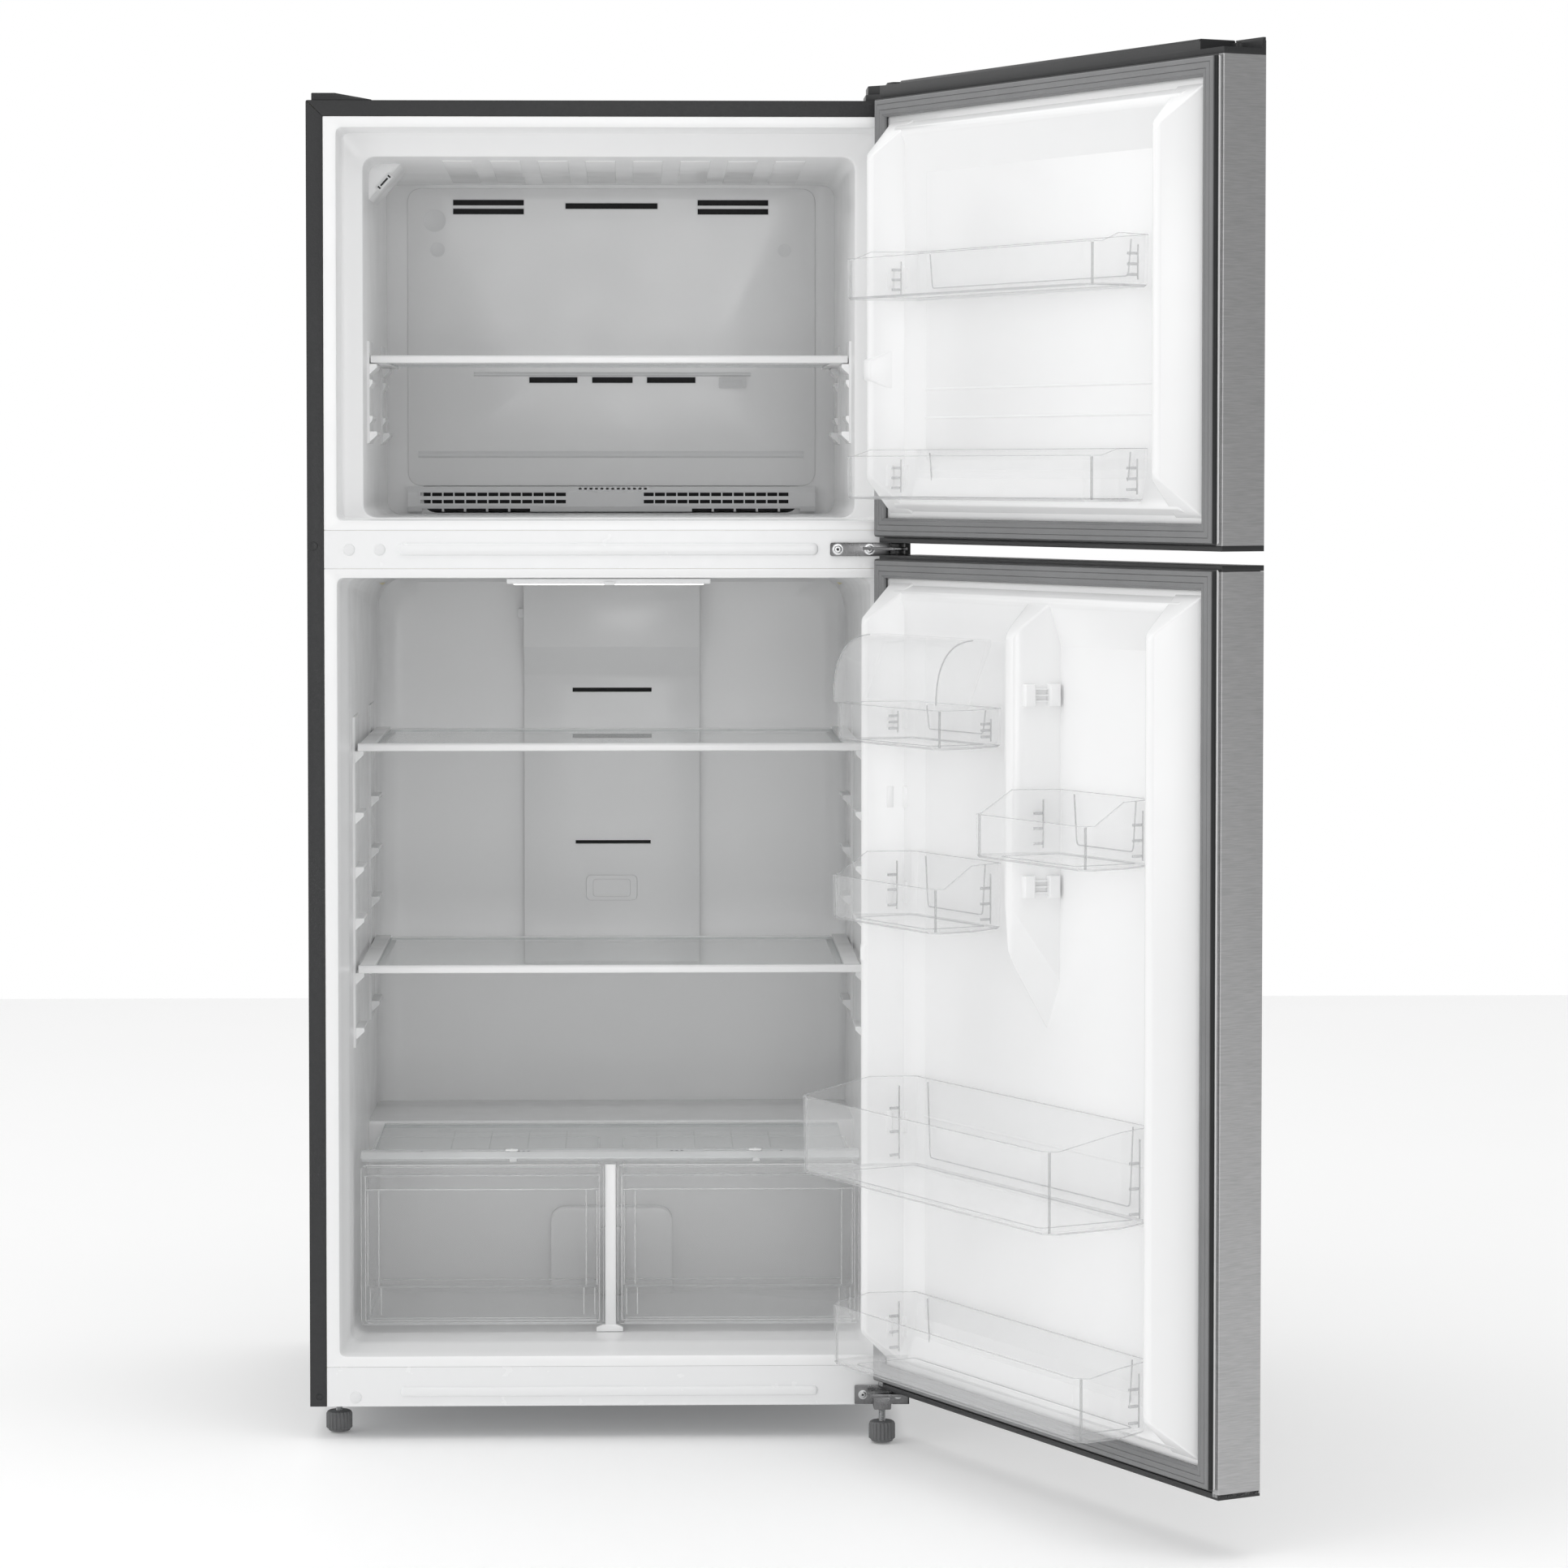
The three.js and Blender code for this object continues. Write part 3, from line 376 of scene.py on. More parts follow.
def make_stage():
    """The white studio: sky, three soft lights and a pale floor that glows a little to look white."""
    scene = bpy.context.scene
    scene.view_settings.view_transform = "Standard"
    scene.cycles.transparent_max_bounces = 64  # light passes through many clear walls, one behind another
    world = bpy.data.worlds.new("studio")
    scene.world = world
    world.use_nodes = True
    light_from_left(world.node_tree)
    area_light("key", (-4.9, -3.0, 2.7), (0, 0, 0.9), (4.4, 3.8), 44)
    area_light("front", (0.2, -6.4, 1.5), (-0.1, 0, 0.8), (2.0, 2.0), 42)
    area_light("above", (0, -1.5, 4.4), (0, 0, 0.6), (3.6, 2.6), 40)
    floor_bm = new()
    prism(floor_bm, rounded(rectangle(-6, 6, -5.4, 5.0), 1.5, 10), "Z", -0.03, -0.002)
    mesh = bpy.data.meshes.new("floor")
    floor_bm.to_mesh(mesh)
    floor_bm.free()
    pale = surface("pale floor", (0.96, 0.96, 0.96), 0.004, 2, (0.6, 0.7), grain=40, height=0.0001)
    glow = pale.node_tree.nodes["Principled BSDF"].inputs
    glow["Emission Color"].default_value = (1, 1, 1, 1)
    glow["Emission Strength"].default_value = 0.11
    mesh.materials.append(pale)
    floor = bpy.data.objects.new("floor", mesh)
    scene.collection.objects.link(floor)


# ---- cabinet ----
_, HALF, _, BACK, BOTTOM, TOP = span("cabinet_shell")
FLANGE = 21.0  # the width of the painted edge round the front
MOUTH = 340.3  # half the width of both linings' openings


def cabinet_shell():
    """The painted wrap: a roof and two sides with rounded long edges, and a folded flange with mitres."""
    sheet, edge = 1.5, 2.5
    bm = new()
    outer = rounded([(-HALF, BOTTOM), (-HALF, TOP), (HALF, TOP), (HALF, BOTTOM)], [0, edge, edge, 0])
    inner = rounded([(sheet - HALF, BOTTOM), (sheet - HALF, TOP - sheet), (HALF - sheet, TOP - sheet),
                     (HALF - sheet, BOTTOM)], [0, edge - sheet, edge - sheet, 0])
    prism(bm, outer + inner[::-1], "Y", 0.8, BACK)
    piece("cabinet_wrap", bm, PAINT, "cabinet", "paint", replaces="cabinet_shell", angle=40)

    flange = new()
    gap = 0.35  # the open mitre
    inside, roof = HALF - FLANGE, TOP - FLANGE + 1
    for side in (-1, 1):
        upright = [(side * (HALF - 0.6), BOTTOM), (side * (HALF - 0.6), TOP - 0.6 - gap),
                   (side * inside, roof - gap), (side * inside, BOTTOM)]
        prism(flange, upright, "Y", 0, sheet)
    lintel = [(-HALF + 0.6 + gap, TOP - 0.6), (HALF - 0.6 - gap, TOP - 0.6), (inside - gap, roof),
              (gap - inside, roof)]
    prism(flange, lintel, "Y", 0, sheet)
    piece("cabinet_flange", flange, PAINT, "cabinet", "paint", bevel=0.5)
    # A near-black sliver in each mitre paints the shade of its open gap.
    mitre_shade = new()
    for side in (-1, 1):
        prism(mitre_shade, [(side * (HALF - 0.8), TOP - 0.8), (side * (HALF - 2.4), TOP - 0.8),
                      (side * inside, roof - 1.2), (side * inside, roof + 0.4)], "Y", 0.6, 1.3)
    piece("flange_mitre_shade", mitre_shade, PAINTED_SHADE, "cabinet", "cap", bevel=0.1)
    plugs = new()
    button(plugs, (8.2 - HALF, -0.1, 1126), 5.4, 1.2)
    piece("flange_plug", plugs, CAP, "cabinet", "cap", angle=50)
    screws = new()
    screw(screws, (12.2 - HALF, 0, 53.5), 3.6)
    piece("flange_screw", screws, CAP, "cabinet", "cap", angle=40)


def button(bm, place, radius, height):
    """A shallow domed plug whose face points to the front."""
    profile = [(radius, height)]
    for k in range(1, 7):
        a = k / 6 * math.pi / 2
        shrunk = 0.75 + 0.25 * math.cos(a) if k < 3 else 0.93 * math.cos((k - 2) / 4 * 1.45)
        profile.append((radius * shrunk, -height * math.sin(a)))
    lathe(bm, profile, place, "Y", 28)


def screw(bm, place, radius):
    """A pan head facing the front, with a six-point recess that is painted, not cut."""
    x, y, z = place
    head = [(radius, 0.8), (radius, -0.6), (radius * 0.86, -1.2), (radius * 0.56, -1.35)]
    washer = [(radius * 1.45, 0.9), (radius * 1.45, 0.1), (radius * 1.3, -0.1), (radius, -0.1)]
    for profile in (head, washer):
        lathe(bm, profile, place, "Y")
    # A thin star in the second finish stands on the head's face; on the hinge screws it is near-black and
    # paints the recess's shade.
    star = []
    for k in range(12):
        a, r = math.pi * k / 6, radius * (0.5 if k % 2 else 0.3)
        star.append((x + r * math.cos(a), z + r * math.sin(a)))
    prism(bm, star, "Y", y - 1.42, y - 1.2, 1)


def ring(half, z0, z1, r, y):
    """A rounded rectangle about the cabinet's middle, at one depth."""
    return level(rectangle(-half, half, z0, z1, r, 6), y)


def wall_support(bm, side, wall, y0, y1, z, depth, drop):
    """One shelf support: a wedge on a side wall with a flat top and a sloping underside."""
    outline = rounded([(side * (wall + 1), z), (side * (wall - depth), z), (side * (wall - depth), z - 4.5),
                       (side * (wall + 1), z - drop)], [0, 1.6, 1.6, 0], 3)
    prism(bm, outline, "Y", y0, y1)


def support_column(bm, side, wall, y0, y1, z0, z1):
    """A shallow raised panel behind the supports."""
    face = side * (wall - 3.2)
    outline = rounded([(side * (wall + 1), y0 - 3), (face, y0 + 2), (face, y1 - 2),
                       (side * (wall + 1), y1 + 5)], [0, 2, 2, 0], 3)
    prism(bm, outline, "Z", z0, z1)


def opening(node, z0, z1):
    """The rings of a lining's opening: the flange that its CAD node states, and the rounded lip inside it."""
    _, half, _, _, low, high = span(node)
    return [
        ring(half, low, high, 1.2, 3.2),
        ring(half, low, high, 1.2, 0.5),
        ring(MOUTH + 2.2, z0 - 2.2, z1 + 2.2, 10.5, 0.5),
        ring(MOUTH + 0.6, z0 - 0.6, z1 + 0.6, 9.5, 1.0),
        ring(MOUTH, z0, z1, 9, 2.6),
    ]


def freezer_liner():
    """The freezer's lining with its shelf supports, the panels of its ceiling and the sensor's cover."""
    z0, z1 = 1158.0, 1648.0
    deep_supports, slight_supports = (1356.1, 1270), (1336, 1290)
    bm = new()
    loft(bm, opening("freezer_liner", z0, z1) + [
        ring(MOUTH - 2.9, z0 + 1, z1 - 2.9, 10, 38),
        ring(MOUTH - 4.4, z0 + 1.6, z1 - 4.2, 11, 41),
        ring(MOUTH - 8, z0 + 2.2, z1 - 7.5, 12, 42),  # the shoulder behind the mouth
        ring(313, 1160.4, 1618, 18, 42.6),
        ring(310.2, 1160.9, 1615, 18, 44.2),
        ring(309, 1161, 1613.8, 18, 48),
        ring(303.4, 1161, 1606.4, 20, 590),
        ring(301, 1162.5, 1604, 22, 605),
        ring(294, 1168, 1598, 22, 611.4),
        ring(276, 1186, 1580, 20, 612),
    ], caps=(-1,))
    for side in (-1, 1):
        for y0, y1, wall in ((112, 196, 308.6), (372, 446, 305.8)):
            support_column(bm, side, wall, y0 - 4, y1 + 6, 1255, 1385)
            for levels, depth in ((deep_supports, 12.5), (slight_supports, 7)):
                for z in levels:
                    wall_support(bm, side, wall, y0, y1, z, depth, 17)
    moulded("freezer_lining", bm, replaces="freezer_liner", angle=40)
    pads = new()
    pitch, first = 60.5, -212
    for k in range(8):
        x = first + k * pitch
        sections = [rounded([(x, 1620), (x + 38, 1620), (x + 38, z), (x, z)], [0, 0, 1.0, 1.0], 2)
                    for z in (1611.8, 1606.6)]
        loft(pads, [level(outline, y) for y, outline in zip((98, 470), sections)])
    moulded("freezer_ceiling_panels", pads, bevel=0.5)
    corner = new()
    prism(corner, [(-314, 1560), (-262, 1618), (-314, 1618)], "Y", 150, 330)
    moulded("freezer_corner_block", corner, bevel=5, segments=4)
    sensor = new()
    turn = Matrix.Translation((-288.0, 150, 1589.0)) @ Matrix.Rotation(math.radians(-48), 4, "Y")
    start = len(sensor.verts)
    box(sensor, -13, 13, -2.2, 4, -4.2, 4.2)
    # Three near-black patches on the cover's face paint the shade of its slots.
    for x in (-11, 8):
        box(sensor, x, x + 3, -2.6, 0, -2.6, 2.6, 1)
    box(sensor, -7, 7, -2.7, 0, -1.6, 1.6, 1)
    sensor.verts.ensure_lookup_table()
    for vertex in sensor.verts[start:]:
        vertex.co = turn @ vertex.co
    piece("freezer_sensor_cover", sensor, [PLASTIC, PAINTED_SHADE], "cabinet", "white_plastic", bevel=0.4)


def fridge_liner():
    """The fridge's lining with its shelf supports, and the step over the compressor."""
    z0, z1 = 104.6, 1085.5
    shelf_levels = (860.7, 782, 712, 646, 575.7, 505)
    bm = new()
    loft(bm, opening("fridge_liner", z0, z1) + [
        ring(MOUTH - 3, z0 + 3, z1 - 0.2, 10, 18),
        ring(MOUTH - 7.6, 112, z1 - 0.4, 12, 44),
        ring(331, 113, 1084.9, 13, 50),
        ring(329.6, 113, 1084.6, 16, 60),
        ring(324.6, 113, 1075.4, 44, 600),
        ring(322, 115, 1073, 46, 618),
        ring(314, 121, 1066, 46, 625.3),
        ring(290, 141, 1046, 40, 626),
    ], caps=(-1,))
    for side in (-1, 1):
        for y0, y1, wall in ((128, 208, 329.4), (438, 520, 326.4)):
            support_column(bm, side, wall, y0 - 5, y1 + 8, 480, 905)
            for z in shelf_levels:
                wall_support(bm, side, wall, y0, y1, z, 14, 19)
    step = new()
    bulge = rounded([(-330, 100), (-330, 345), (330, 345), (330, 100)], [0, 6, 6, 0], 4)
    prism(step, bulge, "Y", 420, 627)
    hump = rounded([(-82, 100), (-82, 230), (82, 230), (82, 100)], [0, 22, 22, 0], 8)
    prism(step, hump, "Y", 400, 424)
    moulded("fridge_lining", bm, replaces="fridge_liner", angle=40)
    moulded("compressor_step", step, bevel=3.0, segments=3)


def trim_plates():
    """The enamelled plates of the divider and the sill, each with a long embossed bar and plugs."""
    for name, node, bar, plugs in (
        ("divider_plate", "mullion_cover", (1114, 1129.7), ((-325.5, 1121.2), (-287.5, 1121.2))),
        ("sill_plate", "bottom_rail", (53, 65.5), ((-320.5, 52.5),)),
    ):
        x0, x1, _, _, z0, z1 = span(node)
        bar0, bar1 = -264.5, 262
        bm = new()
        prism(bm, rectangle(x0, x1, z0, z1, 1.2, 3), "Y", 0.5, 2.4)
        low, high = bar
        radius = (high - low) / 2 - 0.2
        rings = []
        for grow, y in ((0, 0.8), (-0.3, -0.6), (-1.2, -1.7), (-2.8, -2.15), (-radius + 0.3, -2.2)):
            outline = rectangle(bar0 - grow, bar1 + grow, low - grow, high + grow, max(radius + grow, 0.2), 8)
            rings.append(level(outline, y))
        loft(bm, rings)
        piece(name, bm, TRIM, "cabinet", "trim_steel", replaces=node, angle=50)
        spots = new()
        for x, z in plugs:
            button(spots, (x, 0.6, z), 7.4, 1.3)
        piece(name + "_plugs", spots, PLASTIC, "cabinet", "white_plastic", angle=60)


def top_covers():
    """The black hood over the top hinge and the blanking wedge at the other corner."""
    z0, z1 = span("top_hinge_cover")[4:]
    bm = new()
    low = [(322, 82), (322, 22), (345, 2), (375, 2), (375, 82)]
    prism(bm, rounded(low, [4, 6, 6, 2, 4]), "Z", z0, 1691)
    high = [(325, 80), (325, 23), (346, 4), (346, -32), (352, -45), (368, -45), (375, -32), (375, 80)]
    prism(bm, rounded(high, [4, 6, 3, 8, 7, 7, 8, 4]), "Z", 1690.5, z1)
    piece("hinge_hood", bm, CAP, "cabinet", "cap", replaces="top_hinge_cover", bevel=1.4, segments=3)
    wedge = new()
    x0, x1, y0, y1, z0, z1 = span("top_left_cover")
    outline = rounded([(x0, z0), (x1, z0), (-342, z1), (x0, z1)], [0, 0.5, 1.2, 1.5], 3)
    prism(wedge, outline, "Y", y0, y1)
    piece("left_blanking_cover", wedge, CAP, "cabinet", "cap", replaces="top_left_cover", bevel=0.6)


# ---- inside the freezer ----
def slot_boxes(bm, rows, y0, y1):
    """Blocks to cut slots with, or near-black strips behind the slots that paint their shade. A row is a
    slot's (x0, x1, z, height).
    """
    for x0, x1, z, height in rows:
        prism(bm, rectangle(x0, x1, z - height / 2, z + height / 2, 0.4, 2), "Y", y0, y1)


def slot_lips(bm, rows, y, lip=1.3, proud=0.5):
    """A thin raised lip round each slot."""
    for x0, x1, z, height in rows:
        low, high = z - height / 2 - lip, z + height / 2 + lip
        sweep_round(bm, [(0, y + 0.2), (0, y - proud), (lip, y - proud), (lip, y + 0.2)],
                    x0 - lip, x1 + lip, low, high)


def freezer_back():
    """The evaporator cover with its air slots, blanking discs, ledge and soft outer step."""
    x0, x1, y0, y1, z0, z1 = span("evaporator_cover")
    bm = new()
    rings = []
    for inset, y in ((0, y1), (0, y0 + 1.6), (0.5, y0 + 0.5), (1.6, y0)):
        outline = rectangle(x0 + inset, x1 - inset, z0 + inset, z1 - inset, 21 - inset, 8)
        rings.append(level(outline, y))
    loft(bm, rings)
    top = [(-214, -118, 1583.5, 7.6), (-214, -118, 1571.5, 7.6), (118, 214, 1583.5, 7.6),
           (118, 214, 1571.5, 7.6), (-61.5, 63.5, 1579, 7.8)]
    middle = [(-111, -45.5, 1343, 7.8), (-25.5, 29.5, 1343, 7.8), (49, 115, 1343, 7.8)]
    made = moulded("evaporator_panel", bm, replaces="evaporator_cover",
                 angle=40)
    tools = new()
    slot_boxes(tools, top + middle, y0 - 5, y1 + 5)
    carve(made, tools)
    skirt = new()
    rings = []
    for half, low, high, r, y in ((306, 1159, 1608, 20, y1 + 3), (264, 1162, z1 + 9, 22, y1 - 1.5),
                                  (255, 1162.5, z1 - 6, 20, y1 - 1.5)):
        rings.append(level(rectangle(-half, half, low, high, r, 8), y))
    loft(skirt, rings, caps=())
    moulded("evaporator_skirt", skirt, angle=50)
    lips = new()
    slot_lips(lips, top + middle, y0)
    for x, z, r in ((-239, 1559, 15.4), (-235, 1519.6, 10), (236, 1519, 9)):  # the blanking discs
        disc = [(r, y0 + 0.2), (r, y0 - 0.25), (r - 0.5, y0 - 0.35), (r - 0.9, y0 - 0.2)]
        lathe(lips, disc, (x, 0, z), "Y", 36)
    ledge = [(y0 + 0.5, 1347.6), (y0 - 2.4, 1349.8), (y0 - 2.4, 1351.8), (y0 + 0.5, 1354)]
    prism(lips, rounded(ledge, 0.5, 2), "X", -186, 190)
    fold = [(y0 + 0.5, 1236), (y0 - 2.2, 1240), (y0 - 2.2, 1242), (y0 + 0.5, 1248)]
    prism(lips, rounded(fold, 0.8, 3), "X", -262, 262)
    piece("evaporator_panel_lips", lips, PLASTIC, "cabinet", "white_plastic", angle=50)
    block = new()
    prism(block, rectangle(147, 184, 1332, 1346.5, 1.6, 3), "Y", y0 - 4, y0 + 0.3)
    for k in range(3):
        box(block, 150, 179, y0 - 5.0, y0 - 3.8, 1334.6 + k * 4.2, 1336.4 + k * 4.2)
    piece("fan_switch_cover", block, PLASTIC, "cabinet", "white_plastic", bevel=0.35)


def freezer_grille():
    """The return air grille: two banks of small slots, a dashed row between them and feet with openings."""
    x0, x1, y0, y1, z0, z1 = span("return_grille")
    bm = new()
    profile = [(y1, z0 + 2), (y0 + 4, z0 + 2), (y0 + 0.4, z0 + 9), (y0, z1 - 8), (y0 + 3.4, z1), (y1, z1)]
    prism(bm, rounded(profile, [0, 1.5, 2, 2, 2, 0], 3), "X", x0, x1)
    made = piece("return_air_grille", bm, PLASTIC, "cabinet", "grille", replaces="return_grille", angle=40)
    tools, lips = new(), new()
    rows = []
    for z in (1187.6, 1177.8):
        for first in (-258.5, 44.5):
            rows += [(first + k * 15.3, first + k * 15.3 + 13.6, z, 4.8) for k in range(13)]
    dashes = [(-44 + k * 7.4, -40 + k * 7.4, 1195.4, 2.4) for k in range(13)]
    feet = [(-257 + k * 30, -230 + k * 30, 1166, 4.6) for k in range(5)]
    feet += [(-x_b, -x_a, z, h) for x_a, x_b, z, h in feet]
    slot_boxes(tools, rows + dashes + feet, y0 - 4, y1 + 4)
    carve(made, tools)
    lip = [(0, y0 + 0.6), (0, y0 - 0.7), (1.4, y0 - 0.7), (1.4, y0 + 0.6)]
    for low, high in ((-261, -60), (42, 243)):
        sweep_round(lips, lip, low, high, 1172.6, 1192.6)
    piece("return_air_lips", lips, PLASTIC, "cabinet", "grille", angle=50)
    # A near-black plate behind the grille paints the shade seen through its slots.
    grille_slot_shade = new()
    prism(grille_slot_shade, rectangle(x0 + 6, x1 - 6, z0 + 3, z1 - 3), "Y", y1 + 0.2, y1 + 1.4)
    piece("grille_shadow", grille_slot_shade, PAINTED_SHADE, "cabinet", "cap", bevel=0.2)
    # A near-black plate behind the evaporator panel paints the shade seen through its slots.
    behind = new()
    prism(behind, rectangle(-262, 264, 1325, 1592), "Y", 526, 527.5)
    piece("duct_shadow", behind, PAINTED_SHADE, "cabinet", "cap", bevel=0.2)


# ---- shelves ----
def pane(name, node, body, radius):
    """A sheet of glass with a tinted edge, in place of a CAD node."""
    x0, x1, y0, y1, z0, z1 = span(node)
    bm = new()
    prism(bm, rectangle(x0, x1, y0, y1, radius, 4), "Z", z0, z1)
    mark_edges(bm, 2, 0.5)
    piece(name, bm, [GLASS, GLASS_EDGE], body, "glass", replaces=node)


def shelf(name):
    """A glass pane in a white frame: a rounded front rail, two side rails and a thin rear lip."""
    x0, x1, y0, y1, z0, z1 = span(name + "_frame")
    g0, g1, _, h1, _, p1 = span(name + "_glass")
    bm = new()
    rail = rounded([(y0, z0 + 1), (y0, z1 - 2.2), (y0 + 3.4, z1), (y0 + 13, z1), (y0 + 14, z1 - 3.6),
                    (y0 + 12.4, z0)], [1.6, 2.4, 2.4, 0.6, 0.4, 1.6], 4)
    prism(bm, rail, "X", x0, x1)
    for side in (-1, 1):
        under, seat, outside = side * (g1 - 7), side * (g1 + 0.6), side * x1
        outline = [(under, z0), (outside, z0), (outside, z1 - 1.2), (seat, z1 - 1.2), (seat, z0 + 2),
                   (under, z0 + 2)]
        prism(bm, rounded(outline, [0.5, 1.4, 2, 1, 0, 0.5], 3), "Y", y0 + 10, y1)
    moulded(name + "_rails", bm, name, replaces=name + "_frame", bevel=0.35)
    pane(name + "_pane", name + "_glass", name, 4)
    strip = new()
    lip = [(h1 - 7, p1 - 0.2), (h1 - 7, p1 + 1.1), (h1 - 0.5, p1 + 1.1), (h1 - 0.5, p1 - 0.2)]
    prism(strip, rounded(lip, [0, 0.5, 0.5, 0], 2), "X", g0 + 2, g1 - 2)
    moulded(name + "_rear_lip", strip, name)


# ---- inside the fridge ----
def duct():
    """The air duct down the back wall: three bends, air slots and an oval filter cover."""
    x0, x1, _, wall, z0, z1 = span("duct_panel")
    profile = [(wall, z0), (wall - 8, z0), (wall - 14.5, z0 + 6), (wall - 16, 936), (wall - 36, 977),
               (wall - 40, z1), (wall, z1)]
    bm = new()
    prism(bm, rounded(profile, [0, 3, 4, 14, 4, 0, 0], 5), "X", x0, x1)
    made = moulded("air_duct", bm, replaces="duct_panel", bevel=1.0,
                 angle=30)
    rows = [(-54, 55.5, 917, 6), (-54, 55.5, 853, 6), (-50, 54, 706, 5)]
    tools = new()
    slot_boxes(tools, rows, 560, wall - 3)
    carve(made, tools)
    lips = new()
    slot_lips(lips, rows, wall - 15.9)
    cover_half, cover_low, cover_high = 35.5, 625, 660
    for inset, depth, r in ((0, 1.6, 7.5), (9.5, 3.0, 5)):
        rings = []
        for step, y in ((0, wall - 14), (0, wall - 15.6 - depth + 0.8), (0.9, wall - 16 - depth)):
            side, end = inset + step, (inset + step) * 0.55
            outline = rectangle(side - cover_half, cover_half - side, cover_low + end, cover_high - end,
                                max(r - step, 1), 6)
            rings.append(level(outline, y))
        loft(lips, rings)
    moulded("duct_filter_cover", lips, angle=40)
    shade = new()
    slot_boxes(shade, [(-56, 57, 917, 9), (-56, 57, 853, 9), (-52, 56, 706, 8)], wall - 4.6, wall - 3.4)
    piece("duct_shadow_strips", shade, PAINTED_SHADE, "cabinet", "cap", bevel=0.2)
    tab = new()
    prism(tab, rectangle(x0 - 8, x0 + 1, 1017, 1030, 2, 3), "Y", wall - 34, wall - 20)
    piece("duct_clip", tab, PLASTIC, "cabinet", "white_plastic", bevel=0.6)


def ceiling_light():
    """A frosted frame with a glowing lens below it, and the clip at its front."""
    x0, x1, y0, y1, z0, z1 = span("ceiling_light")

    def outline(dx, dy, z):
        return level(rectangle(x0 + dx, x1 - dx, y0 + dy, y1 - dy, 2, 3), z, "Z")

    bm = new()
    loft(bm, [outline(0, 0, z1), outline(0, 0, z0 + 2.6), outline(1.5, 1.2, z0 + 1.6),
              outline(8, 4, z0 + 1.6)])
    piece("light_frame", bm, FROST, "cabinet", "light", replaces="ceiling_light", angle=40)
    lens = new()
    loft(lens, [outline(8.3, 4.2, z0 + 1.9), outline(8.8, 4.8, z0 + 0.6), outline(11, 8, z0 + 0.1)])
    piece("light_lens", lens, LED, "cabinet", "light", angle=40)
    clip = new()
    box(clip, -7, 7, y0 - 1.4, y0 + 4, z0 + 0.2, z0 + 5)
    piece("light_clip", clip, FROST, "cabinet", "white_plastic", bevel=0.8)


def crisper_cover():
    """The glass lid over the drawers: a wide front band with two slider tracks, side rails and ribs below."""
    x0, x1, y0, y1, z0, z1 = span("crisper_cover_frame")
    _, g1, _, h1, p0, p1 = span("crisper_cover_glass")
    bm = new()
    lip = z0 + 6.5
    track = 127  # the middle of the sliders' tracks
    profile = [(y0, lip), (y0, lip + 2), (y0 + 8.4, z1 - 0.4), (y0 + 37, z1 - 0.4), (y0 + 37, z0 + 4),
               (y0 + 33, z0), (y0 + 22, z0), (y0 + 22, lip)]
    prism(bm, rounded(profile, [0.5, 0.8, 2.6, 0.8, 0.4, 1, 1, 0.5], 4), "X", x0, x1)
    for side in (-1, 1):
        prism(bm, rounded([(side * (g1 + 0.5), 333.5), (side * x1, 333.5), (side * x1, z1 - 0.6),
                           (side * (g1 + 0.5), z1 - 0.6)], [0.4, 1.4, 1.8, 1.2], 3), "Y", y0 + 35, y1)
    prism(bm, rectangle(-g1, g1, h1 - 5, h1), "Z", p1 + 0.2, p1 + 1.6)
    lid = piece("crisper_lid_frame", bm, BAND, "cabinet", "white_plastic", replaces="crisper_cover_frame",
                bevel=0.3)
    tools = new()
    for x in (-155, 158):
        prism(tools, rectangle(x - 37, x + 37, track - 2.8, track + 2.8, 2.6, 4), "Z", 329, 352)
    carve(lid, tools)
    pane("crisper_lid_pane", "crisper_cover_glass", "cabinet", 3)
    ribs = new()
    for first, last in ((-233, -34), (36, 234)):
        for k in range(4):
            x = first + (last - first) * (k + 0.5) / 4
            box(ribs, x - 0.7, x + 0.7, 200, 372, p0 - 3.4, p0 - 0.4)
        for y in (198, 374):
            box(ribs, first, last, y - 0.8, y + 0.8, p0 - 3.0, p0 - 0.4)
    piece("crisper_lid_ribs", ribs, CRISP, "cabinet", "clear", bevel=0.2)
    marks = new()
    dots = [(-242, 1.6), (220, 1.6)] + [(first + k * 6.4, 1.7) for first in (-118, 79) for k in range(3)]
    for x, r in dots:
        lathe(marks, [(r, z1 - 1), (r, z1 - 0.1), (r - 0.3, z1 + 0.05)], (x, track, 0), "Z", 12)
    piece("humidity_marks", marks, KNOB, "cabinet", "grille", angle=50)
    for side in ("left", "right"):
        sx0, sx1, sy0, sy1, sz0, sz1 = span(side + "_humidity_slider")
        knob = new()
        prism(knob, rectangle(sx0 + 5, sx1 - 2, track - 2.4, track + 2.4, 1.5, 3), "Z", sz0, sz1 - 2)
        loft(knob, [level(rectangle(sx0 + i, sx1 - i, sy0 + i, sy1 - i, 2, 4), z, "Z")
                    for i, z in ((0, 346.3), (0, sz1 - 1.4), (1.2, sz1 - 0.6), (3.6, sz1 - 0.9))])
        middle = (sx0 + sx1) / 2
        prism(knob, rectangle(middle - 1, middle + 1, sy0 + 1.5, sy1 - 1.5), "Z", sz1 - 1.2, sz1)
        piece(side + "_humidity_knob", knob, LINER, side + "_humidity_slider", "grille",
              replaces=side + "_humidity_slider", bevel=0.25)


